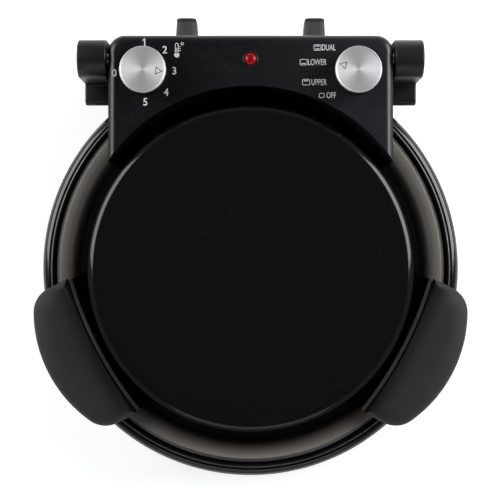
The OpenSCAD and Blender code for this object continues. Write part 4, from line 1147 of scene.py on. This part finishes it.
def rear_housing():
    """Moulded housing behind the base, with rounded corners and a closing lip."""
    half = TOWER_IN - 0.2
    outline = round_corners(8 - half, half - 8, 68, REAR_WALL - 8, 8, 8)
    piece = plate("rear_body", outline, UNDER_Z, RIM_Z - 2)
    softened(piece, 1.6, 4, 60)
    inner = round_corners(10.5 - half, half - 10.5, 70, REAR_WALL - 10.5, 8, 8)
    cut(piece, plate("hollow_form", inner, 0, RIM_Z - 4.5))
    section = ([(0, UNDER_Z - 3)] + tub_outline(-SEAT_GAP)[1:]
               + [(0, RIM_Z + SEAT_GAP)])
    cut(piece, turned("tub_form", section))
    section = [(0, REAR_WALL - 6), (7.2, REAR_WALL - 6), (7.2, REAR_WALL + 6),
               (0, REAR_WALL + 6)]
    cut(piece, inlet_spun("inlet_form", section, 48))
    placed(smoothed(piece, 40), "moulded_black", "base", "moulded_black",
           "rear_housing")


def cord_inlet():
    """Rubber bush in the back wall, where the mains lead goes in."""
    profile = [(4, -5.5), (7, -5.5), (7, 0), (9.6, 0), (10, 0.4), (10, 1.4), (9.2, 1.9),
               (7.4, 1.9), (7, 2.3), (6.6, 2.8), (5.8, 3), (4.6, 3), (4, 2.4), (4, -5.5)]
    section = [(r, REAR_WALL + out) for r, out in profile]
    piece = smoothed(inlet_spun("inlet_bush", section, 64), 35)
    placed(piece, "foot_rubber", "base", "foot_rubber", "cord_inlet")


def bottom_cover():
    """Round bottom cover with a ring of cooling slots and a stepped edge."""
    outline = ([(0, 12), (84, 12), (86, 12.5), (92, 12.5), (94, 12), (138.8, 12)]
               + arc(139.4, 12.6, 0.6, -90, 0, 4) + [(140, 14.2), (0, 14.2)])
    piece = turned("vented_cover", outline)
    slot = plate("slot", arc(49, 0, 1.9, 90, 270, 6) + arc(71, 0, 1.9, -90, 90, 6), 8, 20)
    slots = [slot] + [turned_copy(slot, "slot", 360 / VENT_SLOTS * index)
                      for index in range(1, VENT_SLOTS)]
    screw = drum("screw_form", 2.1, 8, 20, 24, (SCREW_ORBIT, 0))
    slots += [turned_copy(screw, "screw_form", -60 * index - 15) for index in range(6)]
    bpy.data.objects.remove(screw)
    cut(piece, joined("slots", slots))
    placed(smoothed(piece, 35), "moulded_black", "base", "moulded_black",
           "bottom_cover")


def rubber_feet():
    """Four rubber feet with a dished sole."""
    section = [(0, 0.8), (8.6, 0.8), (9.6, 0.1), (10.4, 0), (11.8, 0), (12.6, 0.4),
               (13.4, 1.3), (13.9, 3), (14.3, 6.4), (14.0, 6.8), (14.1, 7.3), (14.5, 7.8),
               (15, 12), (0, 12)]
    reach = FOOT_ORBIT * math.sqrt(0.5)
    feet = [turned("foot", section, 64, (x, y))
            for x in (-reach, reach) for y in (-reach, reach)]
    piece = smoothed(joined("table_feet", feet), 35)
    placed(piece, "foot_rubber", "base", "foot_rubber", "rubber_feet")


# ---- controls ----

def knob_body(name, x, node, body):
    """Black knob skirt with a fine grip ring under its metal face."""
    section = [(15.9, 141), (18.0, 141), (18.6, 141.6), (18.6, 142.6), (18.2, 143.4),
               (17.9, 150), (17.5, 153.8), (17.1, 154.2), (17.1, 154.8), (17.4, 155.5),
               (6, 155.5), (0, 155.5), (0, 153.5), (3.05, 153.5), (3.05, 146.4),
               (6, 146.4), (6, 152.6), (15.9, 152.6), (15.9, 141)]
    piece = turned(name, section, 128, (x, KNOB_Y))
    placed(smoothed(piece, 35), "knob_plastic", body, "knob_plastic", node)


def triangle(name, x, direction, far, near, half, low, high):
    """Triangle that points outwards on a knob, as a plate."""
    turn = math.radians(direction)
    corners = [(far, 0), (near, half), (near, -half)]
    outline = [(x + u * math.cos(turn) - v * math.sin(turn),
                KNOB_Y + u * math.sin(turn) + v * math.cos(turn)) for u, v in corners]
    return plate(name, outline, low, high)


def pointer_form(name, x, direction, low, high):
    """Outlined triangle of a pointer."""
    form = triangle(name, x, direction, 16.4, 10.4, 3.2, low, high)
    cut(form, triangle("island_form", x, direction, 15.2, 11.0, 2.15, 157, 160))
    return form


def knob_face(name, x, direction, finish, node, body):
    """Spun metal face with a raised rim and an engraved, painted pointer."""
    section = [(0, 155.5), (18.3, 155.5), (18.8, 156.0), (18.8, 157.5), (18.65, 157.85),
               (18.35, 158), (18.0, 157.95), (17.75, 157.75), (17.5, 157.62),
               (17.0, 157.6), (9, 157.62), (0, 157.66)]
    piece = turned(name, section, 192, (x, KNOB_Y))
    cut(piece, pointer_form("groove_form", x, direction, 157.2, 159))
    placed(smoothed(piece, 35), finish, body, "spun_aluminium", node)
    paint = smoothed(pointer_form(name + "_pointer", x, direction, 157.1, 157.32))
    placed(paint, "pointer", body, "knob_plastic")


def lamp():
    """Red lamp lens with a low dome, in its bezel."""
    turns = [math.pi / 24 * i for i in range(12)]
    dome = [(LAMP_R * math.cos(t), 140.8 + 3.2 * math.sin(t)) for t in turns]
    section = [(0, 137.6), (LAMP_R, 137.6)] + dome + [(0, 144)]
    lens = turned("lamp_dome", section, 64, (0, LAMP_Y))
    placed(smoothed(lens, 40), "lamp_red", "lid", "lamp_red", "lamp_lens")
    ring = [(5.1, 140), (6.4, 140), (6.4, 140.5), (6.1, 140.8), (5.6, 140.9),
            (5.2, 140.75), (5.1, 140.5), (5.1, 140)]
    bezel = turned("lamp_ring", ring, 64, (0, LAMP_Y))
    placed(smoothed(bezel, 40), "moulded_black", "lid", "panel_plastic", "lamp_bezel")


# ---- printed markings on the panel ----

def printed_text(name, words, x, y, height, width_scale, weight):
    """Printed characters lying on the panel, centred at a place."""
    bpy.ops.object.select_all(action="DESELECT")
    bpy.ops.object.text_add(location=(0, 0, 0))
    label = bpy.context.active_object
    label.data.body = words
    label.data.align_x = "CENTER"
    label.data.align_y = "CENTER"
    label.data.size = height * MM / 0.7
    label.data.extrude = PRINT_THICK * MM
    label.data.offset = weight * MM
    bpy.ops.object.convert(target="MESH")
    label = started(name)
    bpy.ops.object.mode_set(mode="EDIT")
    bpy.ops.mesh.select_all(action="SELECT")
    bpy.ops.mesh.remove_doubles(threshold=0.0005 * MM)
    bpy.ops.transform.resize(value=(width_scale, 1, 1), center_override=(0, 0, 0))
    bpy.ops.transform.translate(value=at(x, y, PANEL_Z + PRINT_THICK))
    object_mode()
    return label


def printed_plate(name, outline):
    """Printed area lying on the panel."""
    return plate(name, outline, PANEL_Z, PANEL_Z + 2 * PRINT_THICK)


def printed_one(x, y):
    """Printed figure one: an upright stroke with a short flag."""
    corners = [(0.85, 3.0), (0.85, -3.0), (-0.2, -3.0), (-0.2, 1.75), (-1.5, 0.95),
               (-1.5, 1.95), (-0.05, 3.0)]
    outline = [(x + u, y + v) for u, v in corners]
    return printed_plate("digit", outline)


def printed_ring(name, x, y, width, height, corner, line):
    """Printed outline of a rounded rectangle."""
    w = width / 2 - corner
    h = height / 2 - corner
    outline = round_corners(x - w, x + w, y - h, y + h, corner, 5)
    piece = printed_plate(name, outline)
    edit(piece)
    pick(piece, "FACE", lambda middle, normal: abs(normal.z) > 0.9)
    bpy.ops.mesh.inset(thickness=line * MM, depth=0)
    bpy.ops.mesh.bridge_edge_loops()
    object_mode()
    return piece


def printed_bar(name, x, y, width, height):
    """Printed bar with round ends."""
    r = height / 2
    outline = (arc(x + width / 2 - r, y, r, -90, 90, 6)
               + arc(x - width / 2 + r, y, r, 90, 270, 6))
    return printed_plate(name, outline)


def markings():
    """Numbers around the thermostat, and words with small signs at the selector."""
    marks = []
    places = [("0", 182), ("1", 90), ("2", 47), ("3", 2), ("4", -43), ("5", -88)]
    for digit, degrees in places:
        turn = math.radians(degrees)
        x = -KNOB_X + NUMBER_ORBIT * math.cos(turn)
        y = KNOB_Y + NUMBER_ORBIT * math.sin(turn)
        if digit == "1":
            marks.append(printed_one(x, y))
        else:
            marks.append(printed_text("digit", digit, x, y, 6.0, 0.94, 0.14))
    words = [("DUAL", 63.8, 181.0), ("LOWER", 54.4, 169.0), ("UPPER", 55.9, 152.6),
             ("OFF", 66.0, 141.9)]
    for word, x, y in words:
        marks.append(printed_text("word", word, x, y, 4.9, 0.64, 0.06))
    for x, y, top, bottom in ((54.7, 181.2, True, True), (43.3, 169.2, False, True),
                              (45.4, 152.8, True, False)):
        marks.append(printed_ring("sign", x, y, 6.2, 5.0, 1.1, 0.45))
        if top:
            marks.append(printed_bar("bar", x, y + 1.2, 3.6, 0.7))
        if bottom:
            marks.append(printed_bar("bar", x, y - 1.2, 3.6, 0.7))
    marks.append(printed_ring("sign", 58.2, 142.0, 4.6, 3.8, 1.0, 0.45))
    marks.append(printed_ring("stem", -60.4, 180.6, 2.9, 8.8, 1.4, 0.55))
    marks.append(printed_bar("bulb", -60.4, 175.2, 4.4, 4.39))
    marks.append(printed_ring("column", -60.4, 178.6, 0.9, 4.4, 0.4, 0.3))
    for step in range(3):
        marks.append(printed_bar("tick", -57.9, 178.6 + 1.7 * step, 1.5, 0.5))
    marks.append(printed_ring("degree", -55.9, 184.2, 2.4, 2.4, 1.15, 0.5))
    sheet = smoothed(joined("panel_print", marks))
    placed(sheet, "print", "lid", "panel_plastic")


# ---- floor, lamps and camera ----

def floor():
    """Pale floor that keeps the oven's shadow."""
    bpy.ops.object.select_all(action="DESELECT")
    bpy.ops.mesh.primitive_plane_add(size=30, location=(0, 0, 0))
    ground = started("floor")
    finish = Finish("floor_white", (0.92, 0.92, 0.92, 1.0), 0.9)
    cloud = finish.noise(3.0, 2.0)
    finish.feed("Base Color", finish.blend(cloud, (0.915, 0.915, 0.915, 1.0),
                                           (0.925, 0.925, 0.925, 1.0)))
    tree = finish.tree
    path = add_node(tree, "LightPath", {})
    seen = math_node(tree, "MAXIMUM", path.outputs["Is Camera Ray"],
                     path.outputs["Is Glossy Ray"])
    seen = math_node(tree, "MAXIMUM", seen, path.outputs["Is Transmission Ray"])
    finish.set("Emission Color", (1, 1, 1, 1))
    far_off = finish.span(finish.radius_from(0.0, 0.0), 700.0, 1800.0)
    bright = finish.between(far_off, 0.46, 1.0)
    finish.feed("Emission Strength", math_node(tree, "MULTIPLY", seen, bright))
    ground.data.materials.append(finish.material)


def lamp_at(name, place, target, size, power):
    """Square soft lamp that looks at a place."""
    bpy.ops.object.light_add(type="AREA", location=place)
    light = bpy.context.active_object
    light.name = name
    light.data.shape = "RECTANGLE"
    light.data.size = size[0]
    light.data.size_y = size[1]
    light.data.energy = power
    way = Vector(target) - Vector(place)
    light.rotation_euler = way.to_track_quat("-Z", "Y").to_euler()


def sky():
    """World light: pale near the horizon, darker overhead, white behind the floor."""
    world = bpy.data.worlds.new("studio")
    bpy.context.scene.world = world
    world.use_nodes = True
    tree = world.node_tree
    back = tree.nodes["Background"]
    way = add_node(tree, "TexCoord", {})
    split = add_node(tree, "SeparateXYZ", {0: way.outputs["Generated"]})
    ramp = add_node(tree, "ValToRGB", {0: split.outputs["Z"]})
    ramp.color_ramp.elements[0].position = 0.0
    ramp.color_ramp.elements[0].color = (0.62, 0.62, 0.63, 1)
    ramp.color_ramp.elements[1].position = 0.85
    ramp.color_ramp.elements[1].color = (0.03, 0.03, 0.033, 1)
    path = add_node(tree, "LightPath", {})
    mix = add_node(tree, "Mix", {0: path.outputs["Is Camera Ray"]})
    mix.data_type = "RGBA"
    tree.links.new(ramp.outputs[0], mix.inputs[6])
    mix.inputs[7].default_value = (1, 1, 1, 1)
    tree.links.new(mix.outputs[2], back.inputs["Color"])


def stand_camera():
    """Camera straight above the oven, as in a plan view."""
    bpy.ops.object.camera_add(location=(-0.0005, -0.00325, 1.2), rotation=(0, 0, 0))
    camera = bpy.context.active_object
    camera.data.sensor_width = 36.0
    camera.data.lens = 36.0 * 1140 / 440
    bpy.context.scene.camera = camera


def stage():
    """Floor, light and camera."""
    floor()
    sky()
    lamp_at("left_lamp", (-1.45, 0.55, 1.0), (0, 0, 0.08), (1.1, 1.1), 24)
    lamp_at("right_lamp", (1.45, 0.55, 1.0), (0, 0, 0.08), (1.1, 1.1), 32)
    lamp_at("front_lamp", (0, -1.7, 1.2), (0, 0, 0.08), (1.8, 0.8), 4)
    stand_camera()
    bpy.context.scene.view_settings.view_transform = "Standard"


dress_frame()
lid_shell()
reflector()
base_shell()
trim_ring()
base_pan()
pizza_stone()
control_housing()
lid_handles()
base_grips()
handle_brackets()
hinge_towers()
hinge_caps()
storage_feet()
rear_housing()
cord_inlet()
bottom_cover()
rubber_feet()
knob_body("thermostat_skirt", -KNOB_X, "thermostat_knob", "thermostat_dial")
knob_body("selector_skirt", KNOB_X, "selector_knob", "selector_dial")
knob_face("thermostat_disc", -KNOB_X, -6, "left_face", "thermostat_face",
          "thermostat_dial")
knob_face("selector_disc", KNOB_X, 164, "right_face", "selector_face",
          "selector_dial")
lamp()
markings()
stage()

bpy.context.view_layer.update()
